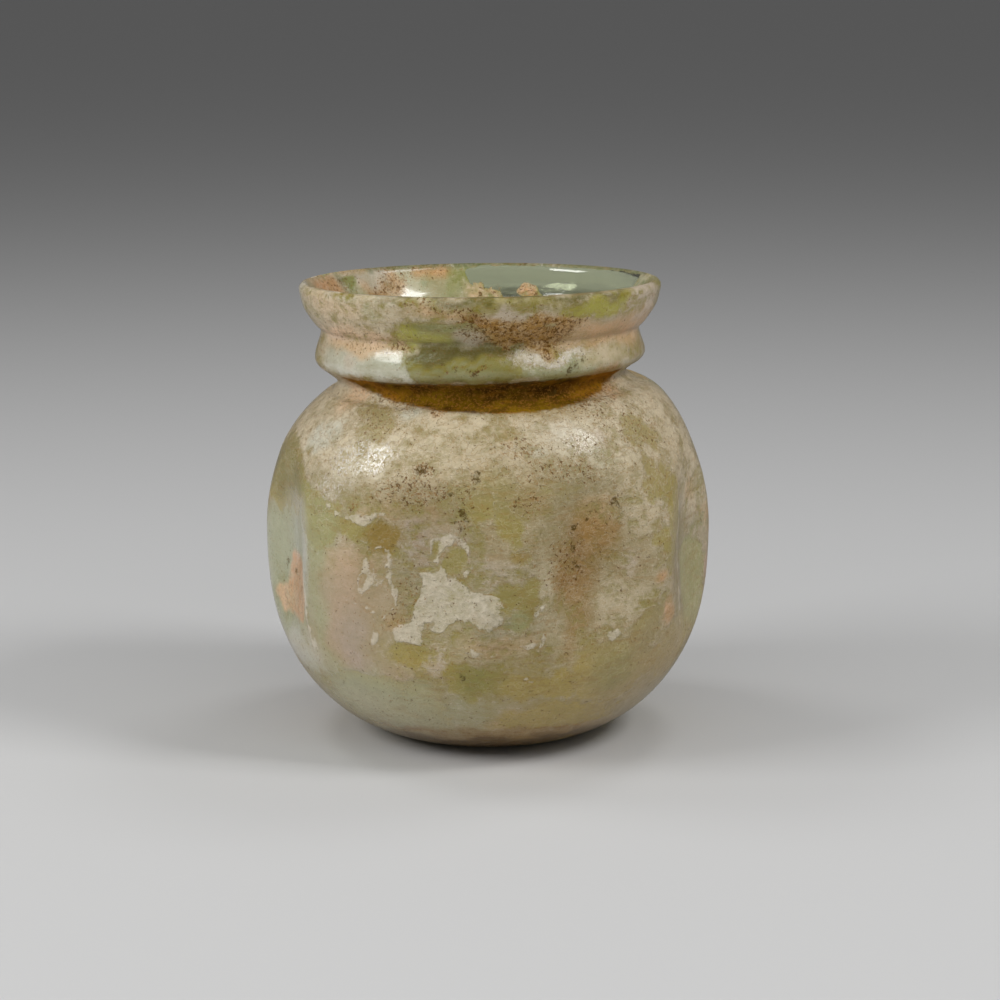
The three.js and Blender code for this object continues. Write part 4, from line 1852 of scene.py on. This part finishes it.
@dataclass(frozen=True)
class SoftLamp:
    """One soft lamp: a lit oblong that faces a point."""

    name: str
    place: tuple[float, float, float]
    target: tuple[float, float, float]
    width: float
    depth: float
    power: float

    def build(self) -> bpy.types.Object:
        """Makes the lamp.

        Returns:
            The lamp, in its place.
        """
        lamp = bpy.data.lights.new(self.name, "AREA")
        lamp.shape = "RECTANGLE"
        lamp.size, lamp.size_y, lamp.energy = self.width, self.depth, self.power
        made = bpy.data.objects.new(self.name, lamp)
        bpy.context.scene.collection.objects.link(made)
        made.location = self.place
        made.rotation_euler = aimed(self.place, self.target)
        return made


def aimed(place: Iterable[float], target: Iterable[float]) -> tuple[float, float, float]:
    """The turn that points an object's -Z from a place to a target, upright.

    Args:
        place: where it stands.
        target: what it faces.

    Returns:
        Euler angles in radians.
    """
    x, y, z = (t - p for p, t in zip(place, target))
    return (math.pi / 2 + math.atan2(z, math.hypot(x, y)), 0.0, math.atan2(-x, y))


@dataclass(frozen=True)
class Studio:
    """The floor, the lamps and the camera."""

    picture: int = 1000  # the picture's sides, in pixels
    pixels_per_mm: float = 5.97  # on the jar's axis
    axis_pixel: tuple[float, float] = (488.0, 501.1)  # where the axis at axis_level shows
    axis_level: float = 38.0
    elevation: float = 12.0  # the camera's, in degrees
    distance: float = 480.0
    sensor: float = 36.0
    nearest: float = 0.01  # what the camera sees starts here, in metres
    floor_half: float = 4.0  # metres
    floor_colour: Colour = linear(203, 203, 203)
    floor_roughness: float = 0.9
    floor_gloss: float = 0.1
    surround: float = 0.15  # how bright the studio's walls are
    middle: tuple[float, float, float] = (0.0, 0.0, 0.05)  # of the jar, in metres

    def camera(self) -> bpy.types.Object:
        """Makes the camera, aimed so that the jar's axis shows where it should.

        Returns:
            The camera.
        """
        half = self.picture / 2
        aside = (half - self.axis_pixel[0]) / self.pixels_per_mm
        below = (self.axis_pixel[1] - half) / self.pixels_per_mm
        up = math.radians(self.elevation)
        target = (aside, 0.0, self.axis_level + below / math.cos(up))
        place = (
            target[0],
            -self.distance * math.cos(up),
            target[2] + self.distance * math.sin(up),
        )
        lens = bpy.data.cameras.new("camera")
        lens.sensor_width = self.sensor
        lens.lens = self.pixels_per_mm * self.distance * self.sensor / self.picture
        lens.clip_start = self.nearest
        camera = bpy.data.objects.new("camera", lens)
        bpy.context.scene.collection.objects.link(camera)
        camera.location = [c * METRE for c in place]
        camera.rotation_euler = aimed(place, target)
        bpy.context.scene.camera = camera
        return camera

    def floor(self) -> bpy.types.Object:
        """Makes the pale floor, a single large flat sheet.

        Returns:
            The floor.
        """
        half = self.floor_half
        mesh = bpy.data.meshes.new("floor")
        corners = [(-half, -half, 0), (half, -half, 0), (half, half, 0), (-half, half, 0)]
        mesh.from_pydata(corners, [], [(0, 1, 2, 3)])
        sheet = Sheet("pale_floor")
        look = {
            "Base Color": self.floor_colour,
            "Roughness": self.floor_roughness,
            "Specular IOR Level": self.floor_gloss,
        }
        paint = sheet.node("ShaderNodeBsdfPrincipled", None, look)
        sheet.node("ShaderNodeOutputMaterial", None, {"Surface": paint})
        mesh.materials.append(sheet.material)
        floor = bpy.data.objects.new("floor", mesh)
        bpy.context.scene.collection.objects.link(floor)
        return floor

    def lamps(self) -> list[bpy.types.Object]:
        """Makes the soft lamps: two small ones overhead, a wide strip in front and a box at each side.

        Returns:
            The lamps.
        """
        jar = self.middle
        return [
            SoftLamp("left_lamp", (-0.27, 0.13, 0.54), jar, 0.14, 0.14, 0.4).build(),
            SoftLamp("right_lamp", (0.18, 0.17, 0.55), jar, 0.14, 0.14, 0.35).build(),
            SoftLamp("front_strip", (0.0, -0.40, 0.40), (0.0, -0.40, 0.0), 1.6, 0.25, 1.48).build(),
            SoftLamp("left_box", (-0.515, -0.199, 0.395), jar, 0.26, 0.30, 1.85).build(),
            SoftLamp("right_box", (0.440, -0.172, 0.515), jar, 0.18, 0.20, 1.75).build(),
        ]

    def build(self) -> None:
        """Makes the whole studio: its pale walls' light, the camera, the floor and the lamps."""
        world = bpy.data.worlds.new("surround")
        bpy.context.scene.world = world
        world.use_nodes = True
        backing = world.node_tree.nodes["Background"]
        backing.inputs["Color"].default_value = (self.surround, self.surround, self.surround, 1.0)
        bpy.context.scene.view_settings.view_transform = "Standard"
        self.camera()
        self.floor()
        self.lamps()


def main() -> None:
    """Builds the studio, then the jar."""
    logging.basicConfig(level=logging.INFO, format="%(name)s: %(message)s")
    Studio().build()
    LOG.info("studio made")
    outer = Weathering(outer_film(), outer_ground(), outer_reliefs(), outer_amounts())
    jar = Jar(JarShape(), outer, inner_weathering()).build()
    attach(jar, BODY)
    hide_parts(NODE)
    LOG.info("%s: %d points, %d faces", jar.name, len(jar.data.vertices), len(jar.data.polygons))


if __name__ == "__main__":
    main()
